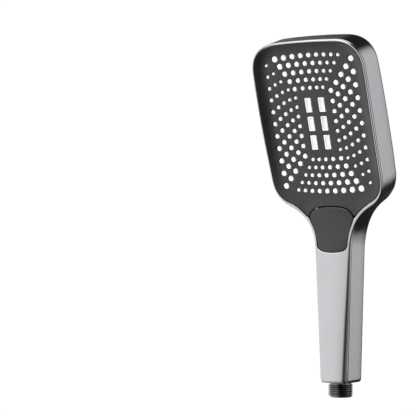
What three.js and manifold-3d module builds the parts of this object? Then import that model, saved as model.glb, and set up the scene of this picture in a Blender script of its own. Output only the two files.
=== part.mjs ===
// Handheld shower head: a flat spray head on a tapered handle, with a rocking mode button,
// a rotary selector valve behind it and a threaded hose inlet below.
// Millimetres. +Z runs up the handle, -Y is the spray side, X is across. The origin is the
// centre of the inlet's end face.
import * as THREE from "three";
import { mergeGeometries, mergeVertices } from "three/addons/utils/BufferGeometryUtils.js";
import Module from "manifold-3d";

const wasm = await Module();
wasm.setup();

// ---------------------------------------------------------------- driving dimensions
const CLEARANCE = 0.3;                      // gap between neighbouring pieces
const TILT = THREE.MathUtils.degToRad(16.6); // lean of the spray face from vertical
const FACE_Y = -36.4;                       // centre of the spray face
const FACE_Z = 228.1;
const BEND_RADIUS = 110;                    // from the leaning head to the upright handle
const HANDLE_FRONT_Y = -13.2;
const HANDLE_END_Z = 12.4;
const HANDLE_END_HALF = 14;                 // half width of the handle's lower end
const HANDLE_DEPTH = 28.2;
const HEAD_DEPTH = 31;                      // at the foot of the head
const HEAD_THINNING = 0.045;                // depth lost per millimetre towards the top
const HEAD_EDGE = 8;                        // rounding of the back edge, head and handle
const HANDLE_EDGE = 5;
const END_EDGE = 1.6;
const WALL = 2.3;
const FRAME_DEPTH = 2.2;                    // visible side of the front frame
const RIM = { head: 1.6, neck: 2.9 };         // width of the frame round the face
const RIM_RISE = { height: 3.4, from: -100, to: 15 }; // how far the rim stands out, along v
const LIP = { outer: 2.6, inner: 3.8, depth: 6.8 };
const PANEL_CROWN = 1.1;                    // bulge of the handle's front panel

const PLATE = { front: 0.3, rebate: 1.1, back: 2.1 };
const MAT = { front: 2.4, back: 3.9, tip: -0.2 };
const FLOW = { front: 4.2, back: 6.2 };
const GASKET = { front: 6.5, back: 7.5 };
const CHAMBER = { front: 7.8, floor: 14.8, back: 16.4 };
const STACK = { half: 48, top: 65.5, bottom: -63, corner: 20 };
const CAVITY = { half: 44.8, top: 61.3, bottom: -59.3, corner: 17 };
const ISLAND = { half: 14, height: 28, wall: 2.2 };

const VALVE = { x: 10.5, front: -3.5, back: 10.5, bottom: 116, top: 164.5 };
const DRUM = { y: 3.5, z: 140, r: 5.3, bore: 5.6, shaft: 2.1, left: -5.7, right: 10.5 };
const WHEEL = { left: -13.6, right: -11.6, tip: 4.6, root: 3.7, teeth: 12 };
const PIVOT = { y: -9.6, z: 156.5, r: 1.3 };
const TUBE = { outer: 9.7, inner: 8.4, bottom: 17.5, top: 113 };
const THREAD = { crest: 10.4775, root: 9.35, pitch: 1.814, length: 12.1 };
const SPIGOT = { r: 8, groove: 6.8, grooveLength: 2 };

// ---------------------------------------------------------------- solids and meshes
function toSolid(geometry) {
  const bare = geometry.index ? geometry.toNonIndexed() : geometry.clone();
  bare.deleteAttribute("normal");
  bare.deleteAttribute("uv");
  const merged = mergeVertices(bare, 1e-4);
  const index = merged.index.array;
  const triangles = [];
  for (let i = 0; i < index.length; i += 3) {
    const [a, b, c] = [index[i], index[i + 1], index[i + 2]];
    if (a !== b && b !== c && c !== a) triangles.push(a, b, c);
  }
  return new wasm.Manifold(new wasm.Mesh({
    numProp: 3,
    vertProperties: new Float32Array(merged.attributes.position.array),
    triVerts: new Uint32Array(triangles),
  }));
}

function toGeometry(solid) {
  const mesh = solid.getMesh();
  const geometry = new THREE.BufferGeometry();
  geometry.setAttribute("position", new THREE.BufferAttribute(new Float32Array(mesh.vertProperties), 3));
  geometry.setIndex(new THREE.BufferAttribute(new Uint32Array(mesh.triVerts), 1));
  return geometry;
}

const join = (...solids) => solids.reduce((whole, piece) => whole.add(piece));
const cut = (whole, ...tools) => tools.reduce((rest, tool) => rest.subtract(tool), whole);

const model = new THREE.Group();
const head = new THREE.Group();
head.position.set(0, FACE_Y, FACE_Z);
head.rotation.x = Math.PI / 2 + TILT;
head.updateMatrixWorld();
model.add(head);

const FINISHES = {
  plated: { color: 0x8a8b90, roughness: 0.24, metalness: 0.9 },
  charcoal: { color: 0x3a3a3f, roughness: 0.42, metalness: 0 },
  black: { color: 0x141416, roughness: 0.5, metalness: 0 },
  silicone: { color: 0xf0f0ee, roughness: 0.6, metalness: 0 },
  whiteResin: { color: 0xe9e9e6, roughness: 0.4, metalness: 0 },
  inner: { color: 0xb9bcc0, roughness: 0.55, metalness: 0 },
  rubber: { color: 0x1b1b1d, roughness: 0.8, metalness: 0 },
  steel: { color: 0xc2c4c8, roughness: 0.3, metalness: 1 },
};

function place(name, shape, finish, parent = model) {
  const geometry = shape.isBufferGeometry ? shape : toGeometry(shape);
  const mesh = new THREE.Mesh(geometry, new THREE.MeshStandardMaterial(FINISHES[finish]));
  mesh.name = name;
  parent.add(mesh);
  return mesh;
}

function box(x0, x1, y0, y1, z0, z1) {
  const geometry = new THREE.BoxGeometry(x1 - x0, y1 - y0, z1 - z0);
  return geometry.translate((x0 + x1) / 2, (y0 + y1) / 2, (z0 + z1) / 2);
}

function rod(radius, from, to, sides = 12) {
  const axis = to.clone().sub(from);
  const geometry = new THREE.CylinderGeometry(radius, radius, axis.length(), sides);
  const turn = new THREE.Quaternion().setFromUnitVectors(new THREE.Vector3(0, 1, 0), axis.clone().normalize());
  const middle = from.clone().add(to).multiplyScalar(0.5);
  return geometry.applyQuaternion(turn).translate(middle.x, middle.y, middle.z);
}

const point = (x, y, z) => new THREE.Vector3(x, y, z);
const rodZ = (r, z0, z1, x = 0, y = 0, sides = 16) => rod(r, point(x, y, z0), point(x, y, z1), sides);
const rodX = (r, x0, x1, y, z, sides = 16) => rod(r, point(x0, y, z), point(x1, y, z), sides);

// A profile of [radius, height] pairs turned about Z; it closes on itself.
function turned(profile, sides) {
  const points = [...profile, profile[0]].map(([r, z]) => new THREE.Vector2(r, z));
  return new THREE.LatheGeometry(points, sides).rotateX(Math.PI / 2);
}

// ---------------------------------------------------------------- the bent body
// (x, v, depth): v runs along the front edge from the middle of the face, up positive, and
// depth runs into the body from the face.
const CORNER_V = (FACE_Y - HANDLE_FRONT_Y) / Math.sin(TILT);
const BEND_TANGENT = BEND_RADIUS * Math.tan(TILT / 2);
const BEND_START = CORNER_V + BEND_TANGENT;
const BEND_END = BEND_START - BEND_RADIUS * TILT;
const BEND_END_Z = FACE_Z + CORNER_V * Math.cos(TILT) - BEND_TANGENT;
const END_V = BEND_END - (BEND_END_Z - HANDLE_END_Z);

function bent(x, v, depth) {
  const lean = THREE.MathUtils.clamp((v - BEND_END) / BEND_RADIUS, 0, TILT);
  const past = v - (BEND_END + lean * BEND_RADIUS);
  const y = HANDLE_FRONT_Y - BEND_RADIUS * (1 - Math.cos(lean)) - past * Math.sin(lean);
  const z = BEND_END_Z + BEND_RADIUS * Math.sin(lean) + past * Math.cos(lean);
  return point(x, y + depth * Math.cos(lean), z + depth * Math.sin(lean));
}

const vec = (x, v) => new THREE.Vector2(x, v);
const bezier = (...points) => new THREE.CubicBezierCurve(...points.map(([x, v]) => vec(x, v)));
const straight = (from, to) => new THREE.LineCurve(vec(...from), vec(...to));

// Right half of the body's outline, from the middle of the top edge to the middle of the foot.
const OUTLINE = [
  { curve: bezier([0, 70.6], [10, 70.6], [20, 70.4], [29, 69.9]), steps: 3 },
  { curve: bezier([29, 69.9], [44, 69.4], [53.6, 60.5], [54, 46]), steps: 6 },
  { curve: bezier([54, 46], [54.9, 20], [54, -20], [53.4, -47]), steps: 4 },
  { curve: bezier([53.4, -47], [53.2, -59.5], [48.2, -66], [40.2, -70.6]), steps: 5 },
  { curve: bezier([40.2, -70.6], [26.4, -77.6], [17.9, -87.5], [17.5, -108]), steps: 8 },
  { curve: straight([17.5, -108], [HANDLE_END_HALF, END_V]), steps: 3 },
  { curve: straight([HANDLE_END_HALF, END_V], [0, END_V]), steps: 1 },
];

// Right half of the mode button's outline.
const BUTTON_OUTLINE = [
  { curve: bezier([0, -71.3], [13, -71.3], [19.5, -73.5], [21.3, -80]), steps: 6 },
  { curve: bezier([21.3, -80], [19.2, -86.5], [15.6, -95], [14.3, -104]), steps: 4 },
  { curve: bezier([14.3, -104], [13.8, -108], [9, -109.2], [0, -109.5]), steps: 5 },
];

function stations(outline) {
  const list = [];
  outline.forEach(({ curve, steps }, part) => {
    for (let i = part ? 1 : 0; i <= steps; i++) {
      const at = curve.getPoint(i / steps);
      const along = curve.getTangent(i / steps);
      list.push({ x: at.x, v: at.y, outX: -along.y, outV: along.x });
    }
  });
  for (const edge of [list[0], list[list.length - 1]]) edge.outX = 0;
  return list;
}

const at = (value, v) => (typeof value === "function" ? value(v) : value);

// The outline moved inwards by `side`, a number or a function of v, and by `end` at the flat foot.
function inset(outline, side, end = side) {
  return outline.map((s) => {
    const d = at(side, s.v);
    const onFoot = Math.abs(s.v - END_V) < 0.01;
    const x = onFoot ? Math.min(s.x, HANDLE_END_HALF - d) : s.x - s.outX * d;
    return { ...s, x: Math.max(0, x), v: onFoot ? END_V + at(end, s.v) : s.v - s.outV * d };
  });
}

// The outline down to `low` along v, closed there by a straight edge.
function closedBelow(outline, low) {
  const kept = outline.filter((s) => s.v > low);
  return [...kept, { ...kept[kept.length - 1], x: 0 }];
}

// Rings of points, one for each station; an outline that starts and ends on the centre line
// closes the surface by itself.
function loft(rings, capped = false) {
  const count = rings[0].length;
  const positions = rings.flat().flatMap((p) => [p.x, p.y, p.z]);
  const index = [];
  for (let i = 0; i + 1 < rings.length; i++) {
    for (let j = 0; j < count; j++) {
      const a = i * count + j;
      const b = i * count + (j + 1) % count;
      index.push(a, a + count, b, b, a + count, b + count);
    }
  }
  const last = (rings.length - 1) * count;
  for (let j = 1; capped && j + 1 < count; j++) {
    index.push(0, j, j + 1, last, last + j + 1, last + j);
  }
  const geometry = new THREE.BufferGeometry();
  geometry.setAttribute("position", new THREE.Float32BufferAttribute(positions, 3));
  geometry.setIndex(index);
  return geometry;
}

const mirrored = (half) => [...half, ...half.map(([x, v, d]) => [-x, v, d]).reverse()];

// A plate with the outline's shape between two depths, which may change along v; `crown` lifts
// its front towards the middle.
const CROWN_SHOULDER = { across: 0.55, height: 0.7 };
function slab(outline, front, back, crown = null) {
  const rings = outline.map(({ x, v }) => {
    const top = at(front, v);
    const half = [[x, v, top], [x, v, at(back, v)]];
    if (crown) {
      const { across, height } = CROWN_SHOULDER;
      half.unshift([0, v, top - crown(v)], [x * across, v, top - crown(v) * height]);
    }
    return mirrored(half).map((p) => bent(...p));
  });
  return toSolid(loft(rings));
}

// The neck, from handle to head, blends the depth and the rounding of the back edge.
const headShare = (v) => THREE.MathUtils.smoothstep(v, -105, -58);
const headDepth = (v) => HEAD_DEPTH - HEAD_THINNING * Math.max(0, v + 30);
const bodyDepth = (v) => THREE.MathUtils.lerp(HANDLE_DEPTH, headDepth(v), headShare(v));
const rounding = (v, wall) => THREE.MathUtils.lerp(HANDLE_EDGE, HEAD_EDGE, headShare(v)) - wall * 0.6;

// The rim stands out further and further up the head, and the seam behind it follows.
const rimRise = (v) => RIM_RISE.height * THREE.MathUtils.smoothstep(v, RIM_RISE.from, RIM_RISE.to);
const rimFront = (v) => -rimRise(v);
const frameBack = (v) => FRAME_DEPTH - rimRise(v);
const rimWidth = (v) => THREE.MathUtils.lerp(RIM.neck, RIM.head, THREE.MathUtils.smoothstep(v, -76, -52));

// A closed tray with a rounded back edge, `wall` inside the body's surface.
function tray(outline, front, wall, arcSteps) {
  const levels = [];
  for (let k = 0; k <= arcSteps; k++) levels.push((k / arcSteps) * Math.PI / 2);
  const shells = levels.map((turn) => inset(outline,
    (v) => wall + rounding(v, wall) * (1 - Math.cos(turn)),
    wall + END_EDGE * (1 - Math.cos(turn))));
  const rings = outline.map((_, i) => {
    const start = shells[0][i];
    const half = [[start.x, start.v, at(front, start.v)]];
    levels.forEach((turn, k) => {
      const { x, v } = shells[k][i];
      half.push([x, v, bodyDepth(v) - wall - rounding(v, wall) * (1 - Math.sin(turn))]);
    });
    return mirrored(half).map((p) => bent(...p));
  });
  return toSolid(loft(rings));
}

const bodyOutline = stations(OUTLINE);
const buttonOutline = stations(BUTTON_OUTLINE);
const panelCrown = (v) => PANEL_CROWN * THREE.MathUtils.smoothstep(-v, 66, 100);

// The face plate's flange lies just under the rim and is one thickness down to the bend.
const flangeFront = (v) => PLATE.front - rimRise(v);
const flangeBack = (v) => PLATE.rebate - Math.max(0, rimRise(v) - rimRise(BEND_START));
const OUTSIDE = -8;                         // a depth well in front of the body
const GAP = { shell: 0.6, frame: 0.45, plate: 0.4, room: 1.7 }; // round the button's outline
const FACE_END = -80.2;                     // where the face mouth ends, under the button's top
const STACK_END = -76;
const CROSSBAR = { top: -66, bottom: -70.6, topHalf: 41.4, bottomHalf: 33.8, back: 4.6 };
const EAR = { inner: 14, outer: 17, reach: 3, top: 7.5 };
const MOUTH_BACK = LIP.depth + 1;

// ---------------------------------------------------------------- casing
const pinHole = () => toSolid(rodX(PIVOT.r + CLEARANCE, -20, 20, PIVOT.y, PIVOT.z, 12));

function rearShell() {
  const outside = tray(bodyOutline, (v) => frameBack(v) + CLEARANCE, 0, 4);
  const inside = tray(bodyOutline, (v) => frameBack(v) - 1, WALL, 3);
  const neckHole = toSolid(rodZ(SPIGOT.r + 1, HANDLE_END_Z - 1, HANDLE_END_Z + WALL + 1, 0, 0, 20));
  const buttonTravel = slab(inset(buttonOutline, -GAP.shell), 0, MOUTH_BACK);
  return cut(outside, inside, neckHole, buttonTravel);
}

function frontFrame() {
  const body = slab(bodyOutline, rimFront, frameBack, panelCrown);
  const lip = cut(
    slab(inset(bodyOutline, LIP.outer), (v) => frameBack(v) - 0.5, LIP.depth),
    slab(inset(bodyOutline, LIP.inner), OUTSIDE, MOUTH_BACK));
  const faceMouth = slab(closedBelow(inset(bodyOutline, rimWidth), FACE_END), OUTSIDE,
    (v) => flangeBack(v) + CLEARANCE);
  const stackMouth = slab(closedBelow(inset(bodyOutline, LIP.inner), STACK_END), OUTSIDE, MOUTH_BACK);
  const buttonMouth = slab(inset(buttonOutline, -GAP.frame), OUTSIDE, MOUTH_BACK);
  const buttonRoom = slab(inset(buttonOutline, -GAP.room), FRAME_DEPTH, MOUTH_BACK);
  const ring = cut(join(body, lip), faceMouth, stackMouth, buttonMouth, buttonRoom);
  // Crossbar behind the button's upper edge, with two ears that hold its pin.
  const bar = slab([
    { x: 0, v: CROSSBAR.top }, { x: CROSSBAR.topHalf, v: CROSSBAR.top },
    { x: CROSSBAR.bottomHalf, v: CROSSBAR.bottom }, { x: 0, v: CROSSBAR.bottom },
  ], PLATE.back + CLEARANCE, CROSSBAR.back);
  const ears = [[-EAR.outer, -EAR.inner], [EAR.inner, EAR.outer]].map(([low, high]) =>
    toSolid(box(low, high, PIVOT.y - EAR.reach, PIVOT.y + EAR.reach, PIVOT.z - EAR.reach, PIVOT.z + EAR.top)));
  const footRoom = toSolid(box(-HANDLE_END_HALF, HANDLE_END_HALF, HANDLE_FRONT_Y + FRAME_DEPTH + 0.01, 0,
    HANDLE_END_Z - 1, HANDLE_END_Z + 6));
  return cut(join(ring, bar, ...ears), pinHole(), footRoom);
}

// ---------------------------------------------------------------- nozzle pattern
// Five nested tracks. Each has a row above and a column to the right, and the same turned by
// half a turn. Nozzles shrink along each arm.
const TRACKS = 5;
const ROW = { count: 9, v: 57.9, pitch: 6.83, from: -32.1, fromStep: 3.75, to: 29, toStep: -4.7,
  big: 2.62, bigStep: -0.19, small: 1.41, smallStep: 0, crowd: 0.17, bow: 0.0017, bowAt: 1.5 };
const COLUMN = { count: 11, x: 41.9, pitch: 6.02, from: 53, fromStep: -6.4, to: -51.1, toStep: 7.15,
  big: 2.45, bigStep: -0.1, small: 1.2, smallStep: 0.02, crowd: 0.07, bow: 0.0003, bowAt: -10 };

function arm(rule, track, place2d) {
  const count = rule.count - track;
  const list = [];
  for (let i = 0; i < count; i++) {
    const s = i / (count - 1);
    const eased = s + rule.crowd * s * (1 - s);
    const along = THREE.MathUtils.lerp(rule.from + track * rule.fromStep, rule.to + track * rule.toStep, eased);
    const sag = rule.bow * (along - rule.bowAt) ** 2;
    const r = THREE.MathUtils.lerp(rule.big + track * rule.bigStep, rule.small + track * rule.smallStep, s);
    list.push({ ...place2d(along, sag), r });
  }
  return list;
}

const arms = [];
for (let track = 0; track < TRACKS; track++) {
  const row = arm(ROW, track, (along, sag) => ({ x: along, v: ROW.v - track * ROW.pitch - sag }));
  const column = arm(COLUMN, track, (along, sag) => ({ x: COLUMN.x - track * COLUMN.pitch - sag, v: along }));
  for (const list of [row, column]) {
    arms.push(list, list.map(({ x, v, r }) => ({ x: -x, v: -v, r })));
  }
}
const nozzles = arms.flat();
const JET = { half: 2.8, height: 6.05, x: 6.4, pitch: 15.9 };
const jets = [-1, 1].flatMap((side) => [-1, 0, 1].map((row) => ({ x: side * JET.x, v: row * JET.pitch })));

// ---------------------------------------------------------------- pieces in the head's own frame
// Local x is across, y runs up the face and z points out of it, so a depth is a negative z.
function roundedRect(half, top, bottom, corner, Type = THREE.Shape) {
  const shape = new Type();
  shape.moveTo(half, bottom + corner);
  shape.lineTo(half, top - corner);
  shape.absarc(half - corner, top - corner, corner, 0, Math.PI / 2);
  shape.absarc(corner - half, top - corner, corner, Math.PI / 2, Math.PI);
  shape.absarc(corner - half, bottom + corner, corner, Math.PI, Math.PI * 1.5);
  shape.absarc(half - corner, bottom + corner, corner, Math.PI * 1.5, Math.PI * 2);
  return shape;
}

function sheet(shape, front, back, curveSegments = 5) {
  return new THREE.ExtrudeGeometry(shape, { depth: back - front, bevelEnabled: false, curveSegments })
    .translate(0, 0, -back);
}

const stackShape = () => roundedRect(STACK.half, STACK.top, STACK.bottom, STACK.corner);

function pegs(list, front, back, grow, taper = 1) {
  const parts = list.map(({ x, v, r }) => {
    const geometry = new THREE.CylinderGeometry((r + grow) * taper, r + grow, back - front, 5);
    return geometry.rotateX(Math.PI / 2).translate(x, v, -(front + back) / 2);
  });
  return toSolid(mergeGeometries(parts));
}

function blocks(front, back, grow) {
  const [half, height] = [JET.half + grow, JET.height + grow];
  return toSolid(mergeGeometries(jets.map(({ x, v }) =>
    box(x - half, x + half, v - height, v + height, -back, -front))));
}

// Moves a solid made in the head's own frame to the part's frame.
const inFrame = (solid) => toSolid(toGeometry(solid).applyMatrix4(head.matrixWorld));

const WALL_RING = { outer: LIP.inner + CLEARANCE, inner: 6 };
const CORE_END = -62;                       // lower end of the plate's flat middle
const PLATE_END = -77;
const HOLE_GAP = { nozzle: 0.4, jet: 0.35 };
const BEHIND = 5;                           // a depth behind the plate

function facePlate() {
  const edge = inset(bodyOutline, (v) => rimWidth(v) + CLEARANCE).filter((s) => s.v > PLATE_END);
  const core = inset(bodyOutline, WALL_RING.outer).filter((s) => s.v > CORE_END);
  const half = core.map(({ x, v }) => vec(x, v));
  const left = half.map(({ x, y }) => vec(-x, y)).reverse();
  const middle = inFrame(toSolid(sheet(new THREE.Shape([...half, ...left.slice(0, -1)]), PLATE.front, PLATE.back)));
  const flange = slab(closedBelow(edge, BEND_START), flangeFront, flangeBack);
  const wall = slab(closedBelow(inset(bodyOutline, WALL_RING.outer), CORE_END), flangeFront, PLATE.back);
  const dish = slab(closedBelow(inset(bodyOutline, WALL_RING.inner), CORE_END), OUTSIDE, PLATE.front);
  const lastFlat = edge.filter((s) => s.v > BEND_START).pop();
  const neck = [{ ...lastFlat, x: 0, v: lastFlat.v + 1 }, { ...lastFlat, v: lastFlat.v + 0.2 },
    ...edge.filter((s) => s.v <= lastFlat.v)];
  neck.push({ ...neck[neck.length - 1], x: 0 });
  const buttonGap = slab(inset(buttonOutline, -GAP.plate), OUTSIDE, BEHIND);
  return cut(join(cut(join(flange, wall), dish), middle, slab(neck, flangeFront, PLATE.rebate)),
    inFrame(pegs(nozzles, OUTSIDE, BEHIND, HOLE_GAP.nozzle)), inFrame(blocks(OUTSIDE, BEHIND, HOLE_GAP.jet)),
    buttonGap);
}

const JET_BASE = { half: 11.6, height: 25.1, corner: 1.2, tip: -0.15 };
const ROOTED = 0.4;                         // how far pegs and blocks reach into their base
const NOZZLE_TAPER = 0.86;

function nozzleMat() {
  const shape = stackShape();
  const { half, height, corner } = JET_BASE;
  shape.holes.push(roundedRect(half + 0.4, height + 0.4, -height - 0.4, corner + CLEARANCE, THREE.Path));
  const base = toSolid(sheet(shape, MAT.front, MAT.back));
  return join(base, pegs(nozzles, MAT.tip, MAT.front + ROOTED, 0, NOZZLE_TAPER));
}

function centreJetBlock() {
  const { half, height, corner, tip } = JET_BASE;
  const base = toSolid(sheet(roundedRect(half, height, -height, corner), MAT.front, MAT.back, 2));
  return join(base, blocks(tip, MAT.front + ROOTED, 0));
}

const SLOT = 0.8;                           // half width of the flow plate's slots

function flowPlate() {
  const shape = stackShape();
  for (const list of arms) {
    const [first, last] = [list[0], list[list.length - 1]];
    const middle = list[Math.floor(list.length / 2)];
    const flat = Math.abs(last.x - first.x) > Math.abs(last.v - first.v);
    const [dx, dv] = flat ? [0, SLOT] : [SLOT, 0];
    const loop = [first, middle, last].map(({ x, v }) => vec(x + dx, v + dv))
      .concat([last, middle, first].map(({ x, v }) => vec(x - dx, v - dv)));
    shape.holes.push(new THREE.Path(loop));
  }
  const [front, back] = [FLOW.front - 1, FLOW.back + 1];
  return cut(toSolid(sheet(shape, FLOW.front, FLOW.back)), blocks(front, back, -1.2), screwHoles(front, back));
}

// The chamber's two C-shaped outer cavities and its centre cavity.
function cavityHoles() {
  const bar = 1.5;
  const c = (side) => {
    const path = new THREE.Path();
    const { half, corner } = CAVITY;
    const end = side > 0 ? CAVITY.top : CAVITY.bottom;
    const centre = end - side * corner;
    path.moveTo(ISLAND.half, side * bar);
    path.lineTo(half, side * bar);
    path.absarc(half - corner, centre, corner, 0, side * Math.PI / 2, side < 0);
    path.absarc(corner - half, centre, corner, side * Math.PI / 2, side * Math.PI, side < 0);
    path.lineTo(-half, side * bar);
    path.lineTo(-ISLAND.half, side * bar);
    path.lineTo(-ISLAND.half, side * ISLAND.height);
    path.lineTo(ISLAND.half, side * ISLAND.height);
    return path;
  };
  const [half, height] = [ISLAND.half - ISLAND.wall, ISLAND.height - ISLAND.wall];
  return [c(1), c(-1), roundedRect(half, height, -height, 1.5, THREE.Path)];
}

const SCREW = { r: 0.75, head: 1.7, headHeight: 1.4 };
const chamberScrews = [[46.4, 30], [46.4, -25], [20, 63.4]].flatMap(([x, v]) => [[x, v], [-x, v]]);

function screwHoles(front, back) {
  const parts = chamberScrews.map(([x, v]) => rodZ(SCREW.r + CLEARANCE, -back, -front, x, v, 6));
  return toSolid(mergeGeometries(parts));
}

function chamberGasket() {
  const shape = stackShape();
  shape.holes.push(...cavityHoles());
  const ring = toSolid(sheet(shape, GASKET.front, GASKET.back, 4));
  return cut(ring, screwHoles(GASKET.front - 1, GASKET.back + 1));
}

// Outer-spray port, and the covered channel that feeds the centre cavity.
const PORT = { half: 4.6, front: 9.2, back: 13.6 };
const CHANNEL = { half: 5.6, front: 16, back: 21, top: -18, bottom: -62 };

function waterChamber() {
  const shape = stackShape();
  shape.holes.push(...cavityHoles());
  const walls = toSolid(sheet(shape, CHAMBER.front, CHAMBER.floor + 0.2, 4));
  const floor = toSolid(sheet(stackShape(), CHAMBER.floor, CHAMBER.back, 4));
  // A box by half width, reach up the face and depth.
  const block = (half, [low, high], [front, back], x = 0) => box(x - half, x + half, low, high, -back, -front);
  const cover = toSolid(block(CHANNEL.half, [CHANNEL.bottom, CHANNEL.top], [CHANNEL.front, CHANNEL.back]));
  const port = toSolid(block(PORT.half, [STACK.bottom - 1, CAVITY.bottom + 2], [PORT.front, PORT.back]));
  const inner = CHANNEL.half - 1.5;
  const end = CHANNEL.top - 2;
  const way = toSolid(block(inner, [CHANNEL.bottom - 1, end], [CHAMBER.back, CHANNEL.back - 1.5]));
  const drop = toSolid(block(inner, [end - 4, end], [CHAMBER.floor - 1, CHAMBER.back + 1]));
  const link = toSolid(mergeGeometries([-30, 30].map((x) =>
    block(6, [-3, 3], [CHAMBER.front + 1.5, CHAMBER.floor - 2], x))));
  return cut(join(walls, floor, cover), port, way, drop, link, screwHoles(CHAMBER.front - 1, CHAMBER.back + 1));
}

function chamberScrew([x, v]) {
  const shank = toSolid(rodZ(SCREW.r, -CHAMBER.back - 0.6, -FLOW.front - 0.3, x, v, 8));
  const top = -CHAMBER.back - CLEARANCE;
  return join(shank, toSolid(rodZ(SCREW.head, top - SCREW.headHeight, top, x, v, 10)));
}

// ---------------------------------------------------------------- water way in the neck
// A rectangular ring in the head's frame or, given a height, level in the valve's frame.
const headRing = (half, v, front, back) => [
  bent(half, v, front), bent(half, v, back), bent(-half, v, back), bent(-half, v, front)];
const levelRing = (half, z, front, back) => [
  point(half, front, z), point(half, back, z), point(-half, back, z), point(-half, front, z)];

function riserDuct() {
  const foot = VALVE.top + CLEARANCE;
  const end = STACK.bottom - CLEARANCE;
  const shell = toSolid(loft([headRing(7, end, 8, 21), levelRing(7, foot, VALVE.front, VALVE.back)], true));
  const spray = toSolid(loft([headRing(4, end + 1, 9.6, 13.4), levelRing(4, foot - 1, -1.6, 2)], true));
  const jet = toSolid(loft([headRing(4, end + 1, 15.6, 19.4), levelRing(4, foot - 1, 4.6, 8.4)], true));
  return cut(shell, spray, jet);
}

const SPIGOT_END = 104;
const UPPER_RING_Z = 107;
const INLET_BORE = 4.5;
const GUIDE = { left: -14.7, back: -0.2, low: 131, high: 136.8 };
const LEAF_POST = { front: 7.4, low: 146, high: 150 };
const CAP_SCREW = { bore: 1.3, shank: 1, head: 2 };
const CAP_SCREW_Z = [131.4, 148.6];
const CAP = { thick: 1.6, edge: 0.8, low: 128.6, high: 151.4, rib: 4 };

function valveBody() {
  const block = toSolid(box(-VALVE.x, VALVE.x, VALVE.front, VALVE.back, VALVE.bottom, VALVE.top));
  const spigot = toSolid(turned([
    [INLET_BORE, SPIGOT_END], [SPIGOT.r - 0.8, SPIGOT_END], [SPIGOT.r, SPIGOT_END + 1],
    [SPIGOT.r, UPPER_RING_Z], [SPIGOT.groove, UPPER_RING_Z],
    [SPIGOT.groove, UPPER_RING_Z + SPIGOT.grooveLength], [SPIGOT.r, UPPER_RING_Z + SPIGOT.grooveLength],
    [SPIGOT.r, VALVE.bottom + 0.5], [INLET_BORE, VALVE.bottom + 0.5],
  ], 18));
  const seat = toSolid(box(-VALVE.x + 1, VALVE.x - 1, -8.2, VALVE.front + 1, VALVE.bottom, VALVE.bottom + 4));
  const inlet = toSolid(rodZ(INLET_BORE, VALVE.bottom - 2, DRUM.z, 0, 0, 14));
  const drumBore = toSolid(rodX(DRUM.bore, DRUM.left - CLEARANCE, VALVE.x + 1, DRUM.y, DRUM.z, 18));
  const shaftBore = toSolid(rodX(DRUM.shaft + CLEARANCE, -VALVE.x - 6, DRUM.left, DRUM.y, DRUM.z, 12));
  const outlets = toSolid(mergeGeometries([0.2, 6.5].map((y) =>
    rodZ(1.7, DRUM.z, VALVE.top + 1, 0, y, 10))));
  const guide = toSolid(box(GUIDE.left, -VALVE.x + 1, VALVE.front, GUIDE.back, GUIDE.low, GUIDE.high));
  const guideSlot = toSolid(box(PAWL.left - CLEARANCE, PAWL.right + CLEARANCE, VALVE.front - 1, 1,
    PAWL.low - CLEARANCE, PAWL.high + CLEARANCE));
  const leafPost = toSolid(box(GUIDE.left, -VALVE.x + 1, LEAF_POST.front, VALVE.back, LEAF_POST.low, LEAF_POST.high));
  const screws = toSolid(mergeGeometries(CAP_SCREW_Z.map((z) =>
    rodX(CAP_SCREW.bore, 3, VALVE.x + 1, DRUM.y, z, 8))));
  return cut(join(block, spigot, seat, guide, leafPost),
    inlet, drumBore, shaftBore, outlets, guideSlot, screws);
}

function valveCap() {
  const left = VALVE.x + CLEARANCE;
  const right = left + CAP.thick;
  const plate = toSolid(box(left, right, VALVE.front + CAP.edge, VALVE.back - CAP.edge, CAP.low, CAP.high));
  const rib = toSolid(rodX(CAP.rib, left + 1, right + 1, DRUM.y, DRUM.z, 14));
  const holes = toSolid(mergeGeometries(CAP_SCREW_Z.map((z) =>
    rodX(CAP_SCREW.bore, left - 1, right + 1.4, DRUM.y, z, 8))));
  return cut(join(plate, rib), holes);
}

function capScrew(z) {
  const under = VALVE.x + CLEARANCE + CAP.thick + CLEARANCE;
  const shank = toSolid(rodX(CAP_SCREW.shank, 4, under + 0.5, DRUM.y, z, 8));
  return join(shank, toSolid(rodX(CAP_SCREW.head, under, under + SCREW.headHeight, DRUM.y, z, 10)));
}

// ---------------------------------------------------------------- selector
const ALONG_X = new THREE.Matrix4().makeRotationY(Math.PI / 2);
const RING_X = [-3.2, 7.4];
const DRUM_GROOVE = { r: 4.1, half: 0.9 };

function onDrumAxis(geometry) {
  return geometry.applyMatrix4(ALONG_X).translate(0, DRUM.y, DRUM.z);
}

function selectorDrum() {
  const profile = [[0, -14.2], [DRUM.shaft, -14.2], [DRUM.shaft, DRUM.left], [DRUM.r, DRUM.left]];
  for (const x of RING_X) {
    profile.push([DRUM.r, x - DRUM_GROOVE.half], [DRUM_GROOVE.r, x - DRUM_GROOVE.half],
      [DRUM_GROOVE.r, x + DRUM_GROOVE.half], [DRUM.r, x + DRUM_GROOVE.half]);
  }
  profile.push([DRUM.r, DRUM.right], [0, DRUM.right]);
  const drum = toSolid(onDrumAxis(turned(profile, 16)));
  const port = toSolid(rod(2, point(0, DRUM.y, DRUM.z - 7), point(0, DRUM.y, DRUM.z + 7), 10));
  return cut(drum, port);
}

function drumRing(x) {
  return onDrumAxis(new THREE.TorusGeometry(4.85, 0.42, 4, 12).translate(0, 0, x));
}

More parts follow.
